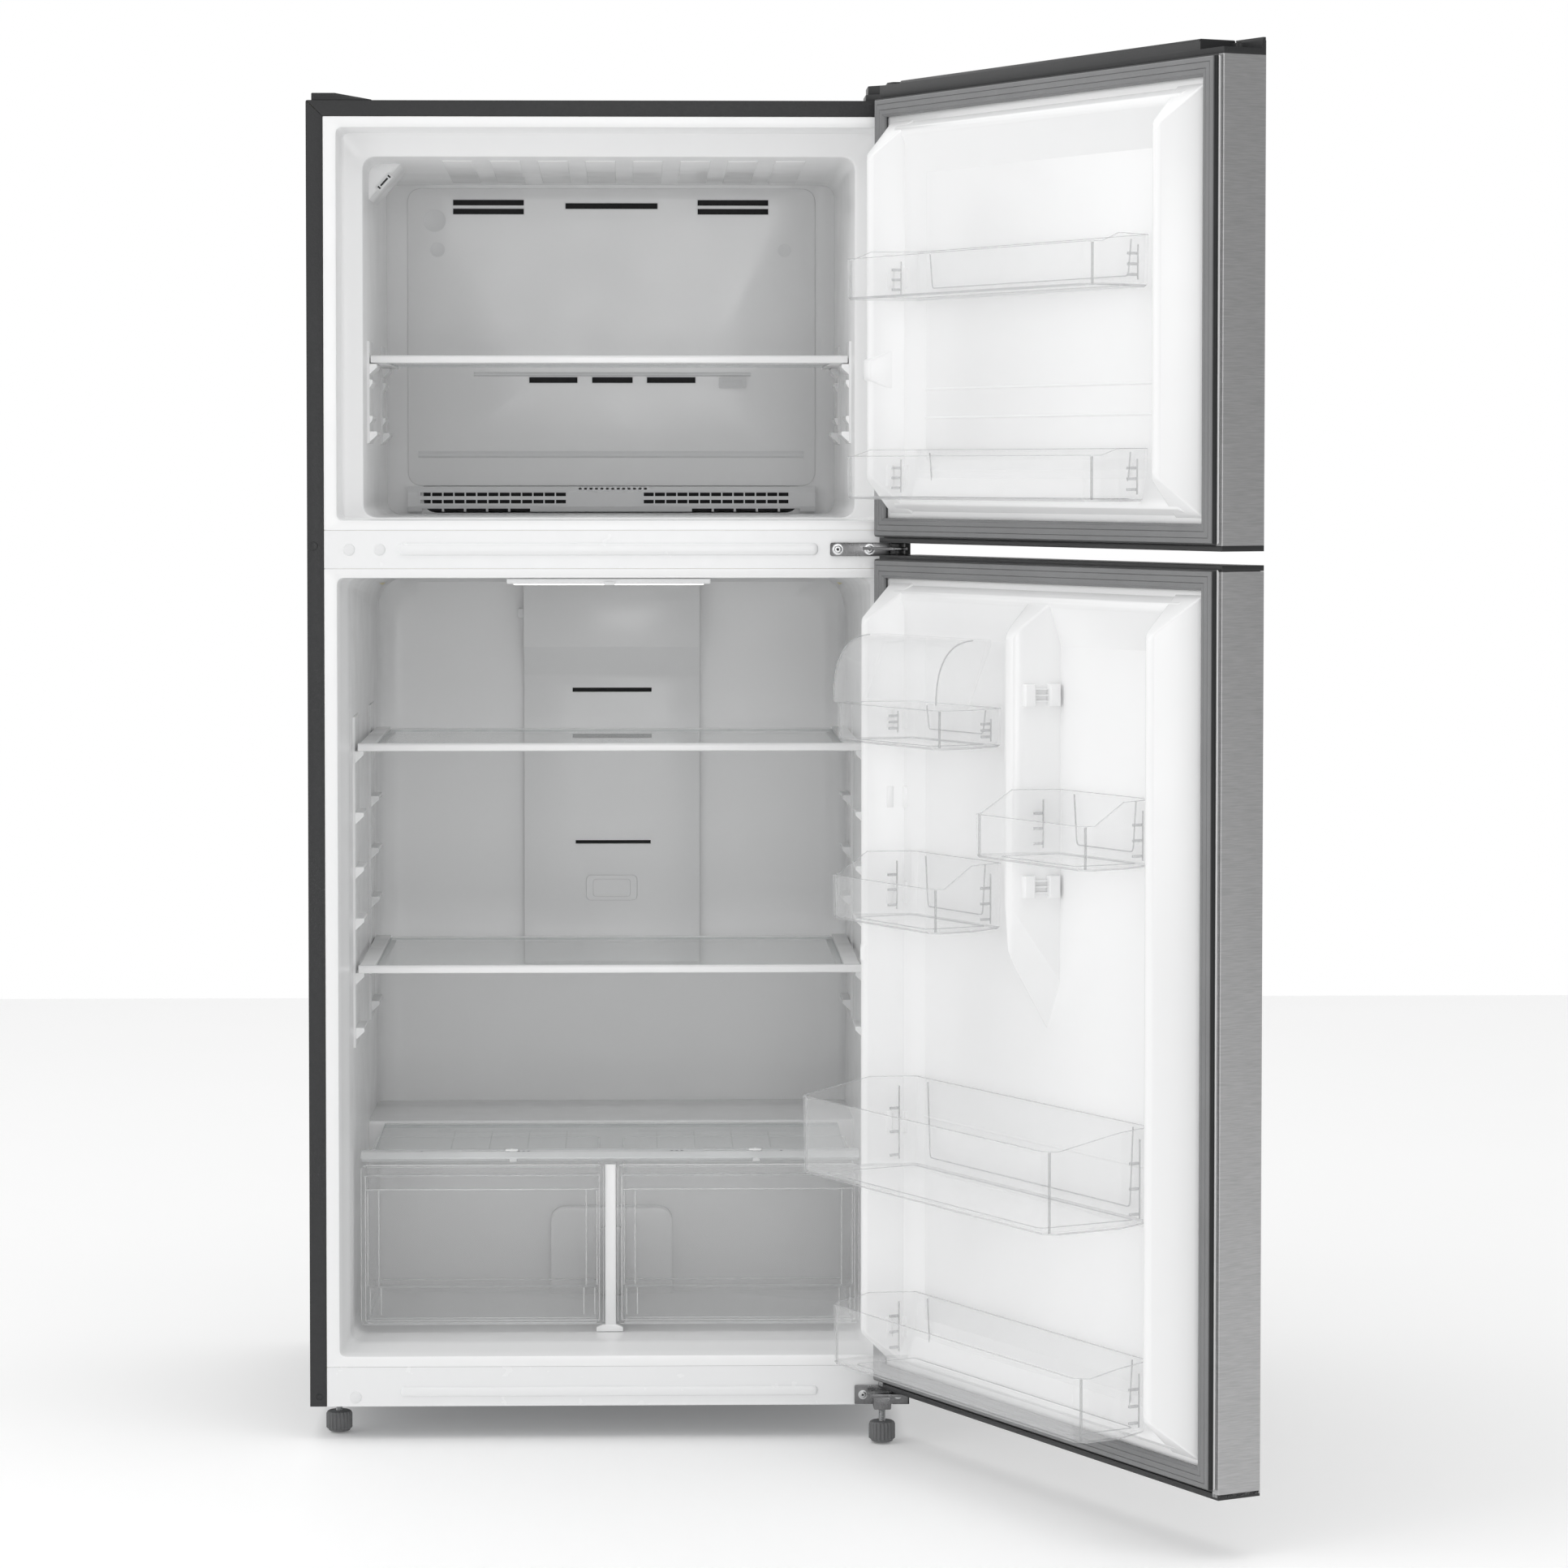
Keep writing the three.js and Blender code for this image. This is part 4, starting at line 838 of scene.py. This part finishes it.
def crisper_post():
    """The post between the drawers: an upright on a spread foot, and the wall that runs back to the step."""
    bm = new()
    front = rounded([(-7, 118), (7.5, 118), (7.5, 131), (-7, 131)], 2.4, 3)
    prism(bm, front, "Z", 122, 329.5)
    foot = rounded([(-18, 113.7), (16, 113.7), (16, 119), (8, 122.5), (-9.5, 122.5), (-18, 119)],
                   [0.4, 0.4, 1.5, 1.5, 1.5, 1.5], 3)
    prism(bm, foot, "Y", 116.5, 134)
    prism(bm, rounded([(-16, 113.7), (-16, 205), (16, 205), (16, 113.7)], [0, 10, 10, 0], 5), "Y", 391, 399.5)
    box(bm, -2.6, 3.1, 131, 391, 114, 218)
    moulded("drawer_post", bm, replaces="crisper_post", bevel=0.8)


def tray(bm, outline_at, levels, floor, top, rim=2.6):
    """An open tub whose rim and foot take the second finish, which paints their edges: a highlight on the
    drawers, shade on the door bins.

    outline_at(inset, low) gives the outline, which is drawn in a little where low is true, and top(x, y)
    gives the height of the rim.
    """
    foot = levels[0]
    rings = [level(outline_at(2.5, True), foot, "Z")]
    rings += [level(outline_at(0, True), z, "Z") for z in levels[1:]]
    for inset, sink in ((0, 0.7), (0.6, 0), (rim - 0.6, 0), (rim, 0.7)):
        rings.append([(x, y, top(x, y) - sink) for x, y in outline_at(inset, False)])
    rings.append(level(outline_at(rim, True), foot + floor + 2.5, "Z"))
    rings.append(level(outline_at(rim + 2.5, True), foot + floor, "Z"))
    faces = loft(bm, rings)
    start = len(levels)
    for i, face in enumerate(faces[:-2]):
        row = i // len(rings[0])
        face.material_index = 1 if row == 0 or start <= row <= start + 2 else 0


def drawer(name):
    """A clear drawer with a flat face, a lip line and guide strips inside."""
    x0, x1, y0, y1, z0, z1 = span(name)
    bm = new()

    def outline_at(inset, low):
        drawn_in = inset + (1.5 if low else 0)
        left, right, back = x0 + 6 + drawn_in, x1 - 6 - drawn_in, y1 - drawn_in
        front = y0 + 4 + inset
        return rounded([(left, front), (right, front), (right, back), (left, back)], [1.5, 1.5, 12, 12], 4)

    tray(bm, outline_at, [z0, z0 + 2.5], 2.5, lambda x, y: z1 - 3)
    piece(name + "_tub", bm, [CRISP, EDGE_HIGHLIGHT], name, "clear", replaces=name, angle=40)
    face = new()
    rings = []
    for inset, y in ((0.8, y0 + 3.6), (0, y0 + 3), (0, y0 + 0.9), (0.9, y0)):
        rings.append(level(rectangle(x0 + inset, x1 - inset, z0 + inset, z1 - inset, 7, 6), y))
    loft(face, rings)
    # The face's edges take the pale edge finish, a painted highlight.
    mark_edges(face, 1, 0.8)
    piece(name + "_face", face, [CRISP, EDGE_HIGHLIGHT], name, "clear", angle=40)
    # The lip line and guide strips are drawn in the pale edge finish, a painted highlight.
    lines = new()
    line = [(0, y0 + 3.6), (0, y0 + 4.6), (1.4, y0 + 4.6), (1.4, y0 + 3.6)]
    sweep_round(lines, line, x0 + 5, x1 - 5, z0 + 4, z1 - 14)
    prism(lines, rectangle(x0 + 7, x1 - 7, z1 - 15.4, z1 - 13.8), "Y", y0 + 3.6, y0 + 18)
    prism(lines, rectangle(x0 + 7, x1 - 7, z1 - 33, z1 - 31.6), "Y", y0 + 3.6, y0 + 5.4)
    for low, high in ((x0 + 8, x0 + 9.4), (x0 + 22, x0 + 23.4), (x1 - 23.4, x1 - 22), (x1 - 9.4, x1 - 8)):
        box(lines, low, high, y0 + 5, y0 + 8, z0 + 50, z1 - 34)
        step = 3 if low < (x0 + x1) / 2 else -3
        box(lines, low + step, high + step, y0 + 5, y0 + 8, z0 + 12, z0 + 46)
    prism(lines, rectangle(x0 + 12, x1 - 12, z0 + 10, z0 + 11.6), "Y", y1 - 6.5, y1 - 4.5)
    prism(lines, rectangle(x0 + 10, x1 - 10, y0 + 30, y0 + 31.4), "Z", z0 + 2.4, z0 + 4)
    piece(name + "_guides", lines, EDGE_HIGHLIGHT, name, "clear", bevel=0.25)


# ---- doors ----
def door_skin(door):
    """The folded steel front: one sheet with rounded long edges and a return lip behind each."""
    x0, x1, y0, y1, z0, z1 = span(door + "_skin", SWUNG)
    sheet, lip = 1.2, 11.0
    outer = rounded([(x0 + lip, y1), (x0, y1), (x0, y0), (x1, y0), (x1, y1), (x1 - lip, y1)],
                    [0, 1.6, 2.6, 2.6, 1.6, 0], 4)
    inner = rounded([(x1 - lip, y1 - sheet), (x1 - sheet, y1 - sheet), (x1 - sheet, y0 + sheet),
                     (x0 + sheet, y0 + sheet), (x0 + sheet, y1 - sheet), (x0 + lip, y1 - sheet)],
                    [0, 0.6, 1.4, 1.4, 0.6, 0], 4)
    bm = new()
    prism(bm, outer + inner, "Z", z0, z1)
    piece(door + "_steel", bm, STEEL, door, "steel", SWUNG, door + "_skin", angle=30)


def door_gasket(door):
    """A ribbed magnetic gasket with mitred corners, and the dark bellows that joins it to the door."""
    x0, x1, y0, y1, z0, z1 = span(door + "_gasket", SWUNG)
    face = [(0.4, y0 + 3.2), (0.2, y1 - 1.6), (1.2, y1 - 0.7), (5.4, y1 - 0.5), (6.0, y1 - 1.3),
            (6.6, y1 - 0.4), (12.6, y1), (13.2, y1 - 0.9), (13.8, y1 - 0.2), (18.4, y1 - 0.6),
            (19.2, y1 - 1.7), (20.6, y1 - 2.2), (21.8, y1 - 4), (21.8, y0 + 2.4), (20.4, y0 + 2),
            (19.6, y0 + 3.2), (4, y0 + 3.2)]
    bm = new()
    sweep_round(bm, face, x0, x1, z0, z1)
    piece(door + "_seal", bm, GASKET, door, "gasket", SWUNG, door + "_gasket", angle=22)
    dark = new()
    folds = [(1.4, y1 - 2.2), (-1.2, y1 - 2.8), (0.4, y1 - 3.8), (-1.7, y1 - 5), (0.4, y1 - 6.2),
             (-1.9, y1 - 7.4), (0.4, y0 + 0.1), (21, y0 + 0.1), (21, y0 + 2), (6, y0 + 3.1), (6, y1 - 2.2)]
    sweep_round(dark, folds, x0, x1, z0, z1)
    piece(door + "_bellows", dark, BELLOWS, door, "gasket", SWUNG, angle=22)


def ramped(bm, side, foot, top, y0, y1, z0, z1, slope, soft):
    """A raised ridge with sloping flanks and ends, and a softly rounded crest."""
    steps = 4
    crest = 1 - soft / (y1 - y0)
    stations = [(0, 0)]  # a share of the height, and how far the outline is pulled in there
    for k in range(steps + 1):
        t = math.sin(k / steps * math.pi / 2)
        stations.append((crest + (1 - crest) * t, soft * (1 - math.cos(t * math.pi / 2))))
    rings = []
    for share, pull in stations:
        low, high = (foot[i] + (top[i] - foot[i]) * share for i in (0, 1))
        low, high = low + pull, high - pull
        outline = rectangle(low, high, z0 + slope * share + pull, z1 - slope * share - pull,
                            min(3 + pull, (high - low) / 2.2), 4)
        rings.append([(side * u, y0 + (y1 - y0) * share, v) for u, v in outline])
    loft(bm, rings)


def flank_bar(bm, low, high):
    """A long shallow embossed bar on the outer flank of the latch-side ridge, seen from above."""
    along, out = Vector((-0.484, -0.875)), Vector((-0.875, 0.484))  # down the flank, and off it
    middle = Vector((-332.5, 8))
    outline = [middle + along * a + out * o for a, o in ((-5, -0.6), (-4, 0.8), (4, 0.8), (5, -0.6))]
    prism(bm, [tuple(p) for p in outline], "Z", low, high)


# The bump on a door's hinge-side ridge: its width at the foot and at the crest, its reach and its rounding.
# On the freezer's door it is low, because a tall one would cut into the closed freezer's lining.
LOW_BUMP = ((290, 341), (306, 324), 41, 3)
HIGH_BUMP = ((295, 340), (309, 321), 47, 5)


def door_liner(door, bump_z, bump, bars):
    """The moulded inner face: a flat sheet, a raised frame round a recess, two deep ridges, shallow ribs."""
    x0, x1, y0, y1, z0, z1 = span(door + "_liner", SWUNG)
    sheet = -11.0
    bm = new()
    rings = []
    for inset, y in ((0, y0), (0, sheet - 0.4), (0.6, sheet)):
        rings.append(level(rectangle(x0 + inset, x1 - inset, z0 + inset, z1 - inset, 3, 3), y))
    loft(bm, rings)
    ridge_foot, ridge_crest, end = (287, 343), (308, 322), 28
    for side in (-1, 1):
        ramped(bm, side, ridge_foot, ridge_crest, sheet - 1, y1, z0 + end, z1 - end, 46, 4.5)
    bump_foot, bump_top, reach, soft = bump
    ramped(bm, 1, bump_foot, bump_top, sheet - 1, reach, bump_z, bump_z + 76, 26, soft)
    rim = [(0, sheet - 0.6), (7, 1), (9, 2.6), (13, 3.2), (17, 2.9), (20, 1.6), (62, sheet + 0.4),
           (66, sheet - 0.6)]
    sweep_round(bm, rim, -320, 320, z0 + 31, z1 - 31)
    moulded(door + "_inner", bm, door, SWUNG, door + "_liner", angle=48)
    ribs = new()
    for low, high in bars:
        flank_bar(ribs, low, high)
    for share in (0.27, 0.335):
        z = z0 + (z1 - z0) * share
        prism(ribs, rounded([(sheet - 0.5, z - 2.5), (sheet + 1.1, z), (sheet - 0.5, z + 2.5)], [0, 1, 0], 3),
              "X", -250, 270)
    moulded(door + "_liner_ribs", ribs, door, SWUNG)


def end_cap(door, which):
    """A black cap with softened edges. The top one of the freezer door has a hand scoop and a thin tab."""
    node = f"{door}_{which}_cap"
    x0, x1, y0, y1, z0, z1 = span(node, SWUNG)
    scooped = node == "freezer_door_top_cap"
    plate = 20 if scooped else 6.6
    if which == "top":
        flat0, flat1 = z1 - plate, z1 - 3.5 if scooped else z1
        plug = (z0, flat0 + 1)
    else:
        flat0, flat1 = z0, z0 + plate
        plug = (flat1 - 1, z1)
    bm = new()
    outline = rounded([(x0, y1), (x0, y0), (x1, y0), (x1, y1)], [1.2, 2.6, 2.6, 1.2], 3)
    prism(bm, outline, "Z", flat0 + 0.1, flat1)
    prism(bm, rectangle(x0 + 3, x1 - 3, y0 + 3, y1 - 3, 2, 3), "Z", *plug)
    made = piece(f"{door}_{which}_end", bm, CAP, door, "cap", SWUNG, node, bevel=0.7)
    if scooped:
        rail, tools = new(), new()
        crest = [(y0 + 6, flat1 - 1), (y0 + 7, z1), (y1 - 4, z1), (y1 - 1.5, flat1 - 1)]
        prism(rail, rounded(crest, [0, 2, 2, 0], 3), "X", x0 + 52, x1 - 45)
        scoop = [(x0 - 4, y0 + 6), (x0 + 46, y0 + 6), (x0 + 46, y1 + 4), (x0 - 4, y1 + 4)]
        prism(tools, rounded(scoop, [0, 10, 0, 0], 4), "Z", flat1 - 9, z1 + 4)
        carve(made, tools, SWUNG)
        tab = [(x0 + 0.4, y0 + 0.4), (x0 + 54, y0 + 0.4), (x0 + 54, y0 + 5), (x0 + 0.4, y0 + 5)]
        prism(rail, rounded(tab, [2, 2, 1, 1], 3), "Z", flat1 - 9, z1)
        piece("freezer_door_cap_ridge", rail, CAP, door, "cap", SWUNG, bevel=0.5)


def grip_insert():
    """The dark grip insert let into the free edge of the freezer door."""
    bm = new()
    outline = rounded([(-374, -64), (-374, -24), (-363, -24), (-363, -64)], [0.5, 0.5, 4, 4], 3)
    prism(bm, outline, "Z", 1665, 1685)
    piece("freezer_door_grip_insert", bm, CAP, "freezer_door", "cap", SWUNG, bevel=0.6)


def peg(bm, near_crest, near_foot, z):
    """A bin hook on a flank that faces the latch side: two blocks, with three thin ribs between them."""
    start, end = Vector(near_crest), Vector(near_foot)
    out = Vector((-1, 0))

    def block(first, last, proud, low, high, radius):
        a, b = start.lerp(end, first), start.lerp(end, last)
        outline = [tuple(p) for p in (a - out * 2, a + out * proud, b + out * proud, b - out * 2)]
        prism(bm, rounded(outline, [0, radius, radius, 0], 3), "Z", low, high)

    half, first, last = 13, 0.3, 0.68
    block(0, first, 7, z - half, z + half, 2.4)
    block(last, 1, 8, z - half, z + half, 2.4)
    for rib in (z - 7, z, z + 7):
        block(first, last, 3.4, rib - 0.8, rib + 0.8, 0.5)


def bin_plan(x0, x1, reach, inset):
    """The outline of a door bin: narrow between the ridges, wider in front of them."""
    neck, tip, back, shoulder = 24, 14, -8, 46
    outline = []
    for x, inward in ((x0, 1), (x1, -1)):
        outline.append([(x + inward * (neck + inset), back + inset), (x + inward * (2 + inset), shoulder),
                        (x + inward * inset, reach - tip), (x + inward * (tip + inset * 0.4), reach - inset)])
    left, right = outline
    return rounded([left[0], *right, *left[:0:-1]], [5, 5, 8, 5, 6, 6, 5, 8], 4)


def door_bin(name, drop):
    """A clear bin with high ends, a front lower by drop, a rim in painted grey edge shade and hook plates at
    both ends.
    """
    x0, x1, y0, y1, z0, z1 = span(name, SWUNG)
    bm = new()

    def top(x, y):
        share = min(max((y - 52) / 18, 0), 1)
        return z1 - drop * share * share * (3 - 2 * share)

    def outline_at(inset, low):
        return bin_plan(x0, x1, y1, inset + (1.2 if low else 0))

    tray(bm, outline_at, [z0, z0 + 3], 2.6, top)
    piece(name + "_tub", bm, [CLEAR, EDGE_SHADE], name, "clear", SWUNG, name, angle=40)
    lines = new()
    back, low, high = y0 + 2.8, z0 + 13.5, z1 - 4
    line = [(x0 + 56, high), (x0 + 62, low), (x1 - 62, low), (x1 - 56, high), (x1 - 57.4, high),
            (x1 - 63.2, low + 1.4), (x0 + 63.2, low + 1.4), (x0 + 57.4, high)]
    prism(lines, rounded(line, [0, 7, 7, 0, 0, 6, 6, 0], 4), "Y", back, back + 1.4)
    for side, x in ((1, x0 + 16), (-1, x1 - 16)):
        for k in range(3):
            z = z0 + 12 + k * (z1 - z0 - 24) / 3
            box(lines, *sorted((x, x + side * 3)), 14, 26, z, z + 3.2)
        box(lines, *sorted((x, x + side * 1.6)), 12, 13.4, z0 + 8, z1 - 12)
    for x in (x0 + 8.5, x1 - 8.5):
        box(lines, x - 0.9, x + 0.9, y1 - 10, y1 - 7.4, z0 + 2, z1 - drop - 1.4)
    rings = []
    for inset, z in ((0, z0 + 2.4), (0, z0 + 3.4), (1.4, z0 + 3.4), (1.4, z0 + 2.4), (0, z0 + 2.4)):
        outline = rectangle(x0 + 40 + inset, x1 - 40 - inset, 4 + inset, y1 - 16 - inset, 8 - inset, 4)
        rings.append(level(outline, z, "Z"))
    loft(lines, rings, caps=())
    # The hook plates, ribs and lines are drawn in the grey edge finish, which paints them as shaded edges.
    piece(name + "_hooks", lines, EDGE_SHADE, name, "clear", SWUNG, bevel=0.2)


def dairy_lid():
    """The curved hood over the dairy bin, thin-walled, with its end edges in painted grey edge shade."""
    x0, x1, y0, y1, z0, z1 = span("dairy_lid", SWUNG)
    wall = 2.2

    def profile(t):
        """The hood seen from its end, drawn in by t. A drawn-in one is open below, to cut the hollow."""
        open_end = z0 if t == 0 else z0 - 1
        steps = 14
        start, corner, end = Vector((y1 - t, z0 + 6)), Vector((y1 - t, z1 - 2 - t)), Vector((y0 + 26, z1 - t))
        nose = [(y1 - t, open_end)]
        for k in range(steps + 1):
            s = k / steps
            nose.append(tuple((1 - s) ** 2 * start + 2 * s * (1 - s) * corner + s * s * end))
        return nose + [(y0 + t * 3, z1 - t), (y0 + t * 3, z1 - 7), (52, open_end)]

    bm = new()
    prism(bm, profile(0), "X", x0, x1)
    made = piece("dairy_hood", bm, [CLEAR, EDGE_SHADE], "dairy_lid", "clear", SWUNG, "dairy_lid", bevel=2.2,
                 segments=3, angle=40)
    tools = new()
    prism(tools, profile(wall), "X", x0 + wall, x1 - wall)
    carve(made, tools, SWUNG)
    edges = new()
    for x in (x0 + 0.4, x1 - 1.8):
        path = profile(0.4)[1:-3]
        under = profile(1.8)[1:-3]
        rings = [[(x, *a), (x + 1.4, *a), (x + 1.4, *b), (x, *b)] for a, b in zip(path, under)]
        loft(edges, rings)
    piece("dairy_hood_edges", edges, EDGE_SHADE, "dairy_lid", "clear", SWUNG)


def divider():
    """The upright divider of the fridge door, with its long tapering point."""
    bm = new()
    rings = []
    for share, soft in ((0, 0), (0.82, 0), (0.93, 1.2), (0.985, 3.2), (1, 6.0)):
        y = -12 + 57 * share
        low, high = -50 + 16 * share + soft * 0.5, 8 - 22 * share - soft * 0.5
        z_low, z_high = 560 + 87 * share + soft, 1076 - 46 * share - soft
        outline = [(low, z_low + 60), ((low + high) / 2, z_low), (high, z_low + 60), (high, z_high),
                   (low, z_high)]
        rings.append(level(rounded(outline, [2, 2, 2, 4, 4], 3), y))
    loft(bm, rings)
    moulded("door_divider", bm, "fridge_door", SWUNG, angle=48)


def door_pegs():
    """The hooks for bins, on the divider and on the hinge-side ridges of both doors."""
    divider_flank, ridge_flank = ((-38, 34), (-49, -8)), ((305, 20), (291, -8))
    pegs = new()
    for z in (958, 733):
        peg(pegs, *divider_flank, z)
    for z in (818, 700, 915, 415, 160):
        peg(pegs, *ridge_flank, z)
    moulded("fridge_door_pegs", pegs, "fridge_door", SWUNG, bevel=0.5)
    freezer = new()
    for z in (1456, 1214):
        peg(freezer, *ridge_flank, z)
    moulded("freezer_door_pegs", freezer, "freezer_door", SWUNG, bevel=0.5)


# ---- hinges and feet ----
def hinges():
    """The middle, bottom and top hinges, with their pins on one axis and the screws that hold them."""
    x, y = 360.0, -32.0  # the pins
    plate = (-2.8, -1)
    bm = new()
    prism(bm, rectangle(277, 372, 1113, 1130, 3, 3), "Y", *plate)
    arm = [(318, -1), (318, -8), (348, y - 6), (354, y - 12), (366, y - 12), (372, y - 5), (372, -1)]
    prism(bm, rounded(arm, [0, 2, 6, 6, 6, 4, 0], 3), "Z", 1121, 1124.4)
    lathe(bm, [(4, 1100), (4, 1145.4), (3.2, 1146)], (x, y, 0))
    piece("middle_hinge", bm, HINGE, "cabinet", "zinc", replaces="middle_hinge_bracket", bevel=0.5)
    screws = new()
    for place in (286.5, 326.5):
        screw(screws, (place, plate[0], 1121.5), 5.2)
    bush = new()
    lathe(bush, [(9, 1124.6), (9, 1129.4), (7.6, 1130.2)], (x, y, 0), count=32)
    lathe(bush, [(9, 1115.6), (9, 1120.8)], (x, y, 0), count=32)
    piece("middle_hinge_bush", bush, CAP, "cabinet", "cap", bevel=0.3)

    low = new()
    prism(low, rectangle(308.6, 376, 42, 66, 1.5, 3), "Y", *plate)
    prism(low, rounded([(325, -1), (325, -42), (372, -42), (372, -1)], [0, 5, 5, 0], 3), "Z", 58, 62)
    prism(low, rectangle(331, 353, 42, 60, 2, 3), "Y", -39.5, -2)
    lathe(low, [(4, 60), (4, 83.4), (3.2, 84)], (x, y, 0))
    piece("bottom_hinge", low, HINGE, "cabinet", "zinc", replaces="bottom_hinge_bracket", bevel=0.6)
    for place in (319, 363.6):
        screw(screws, (place, plate[0], 54), 4.2)
    piece("hinge_screws", screws, [ZINC, PAINTED_SHADE], "cabinet", "zinc", angle=40)

    top = new()
    left = span("top_hinge_bracket")[0]
    prism(top, rounded([(left, 25), (left, 77), (371, 77), (371, 25)], 3, 3), "Z", 1682.4, 1685)
    arm = [(348, 30), (348, y), (353, y - 9), (367, y - 9), (371, y), (371, 30)]
    prism(top, rounded(arm, [0, 4, 5, 5, 4, 0], 3), "Z", 1691.2, 1693.8)
    box(top, 348, 371, 27, 30, 1682.4, 1693.8)
    lathe(top, [(4, 1672), (4, 1692)], (x, y, 0))
    piece("top_hinge", top, ZINC, "cabinet", "zinc", replaces="top_hinge_bracket", bevel=0.4)


def foot(name, x, y, stem_top):
    """A ribbed levelling foot: a fluted knob with softened rims on a threaded stem."""
    z0 = span(name)[4]
    teeth, outer, inner = 20, 16.6, 15.0
    bm = new()

    def star(radius_out, radius_in, z):
        points = []
        for k in range(teeth * 4):
            a = 2 * math.pi * k / (teeth * 4)
            radius = radius_out if k % 4 in (0, 1) else radius_in
            points.append((x + radius * math.cos(a), y + radius * math.sin(a), z))
        return points

    loft(bm, [star(11.5, 11.5, z0), star(13.4, 13.4, z0 + 1), star(14.2, 13.6, z0 + 3),
              star(outer, inner, z0 + 4.6), star(outer, inner, z0 + 22.5), star(15.2, 14.6, z0 + 25),
              star(13.4, 13.4, z0 + 26)])
    piece(name + "_knob", bm, KNOB, name, "knob", replaces=name, angle=30)
    stem = new()
    profile = [(4.4, z0 + 25.6)]
    z = z0 + 26.4
    while z < stem_top - 1:
        profile += [(3.6, z), (4.4, z + 0.6)]
        z += 1.3
    lathe(stem, profile + [(4.2, stem_top)], (x, y, 0), count=24)
    piece(name + "_stem", stem, ZINC, name, "zinc", angle=30)


# ---- parts that stay as the CAD draws them ----
def keep_cad():
    """Gives every CAD node that no other piece stands for a finish of its own."""
    finishes = {
        "insulation_foam": FOAM, "freezer_door_foam": FOAM, "fridge_door_foam": FOAM, "base_pan": GALVANISED,
        "rear_panel": GALVANISED, "compressor_cover": BLACK_METAL, "evaporator_coil": ALUMINIUM,
        "condenser_coil": COPPER, "compressor": BLACK_METAL, "fan_motor": BLACK_METAL, "fan_blade": PLASTIC,
        "left_roller": ROLLER, "right_roller": ROLLER,
    }
    for name, finish in finishes.items():
        mesh = frame["nodes"][name].data
        mesh.materials.clear()
        mesh.materials.append(finish)


# ---- the whole appliance ----
make_camera()
make_stage()
cabinet_shell()
freezer_liner()
fridge_liner()
trim_plates()
top_covers()
freezer_back()
freezer_grille()
for shelf_name in ("freezer_shelf", "upper_shelf", "lower_shelf"):
    shelf(shelf_name)
duct()
ceiling_light()
crisper_cover()
crisper_post()
drawer("left_crisper")
drawer("right_crisper")
for door_name, bump_height, bump_shape, bar_spans in (
    ("freezer_door", 1306, LOW_BUMP, [(1195, 1590)]),
    ("fridge_door", 586, HIGH_BUMP, [(162, 568), (621, 1030)]),
):
    door_skin(door_name)
    door_gasket(door_name)
    door_liner(door_name, bump_height, bump_shape, bar_spans)
    end_cap(door_name, "top")
    end_cap(door_name, "bottom")
grip_insert()
divider()
door_pegs()
front_drops = {"freezer_upper_bin": 10, "freezer_lower_bin": 8, "dairy_bin": 0, "small_left_bin": 26,
               "small_right_bin": 26, "upper_bottle_bin": 16, "lower_bottle_bin": 8}
for bin_name, front_drop in front_drops.items():
    door_bin(bin_name, front_drop)
dairy_lid()
hinges()
foot("left_foot", -344.6, 54, 54)
foot("right_foot", 342, -27, 56)
keep_cad()
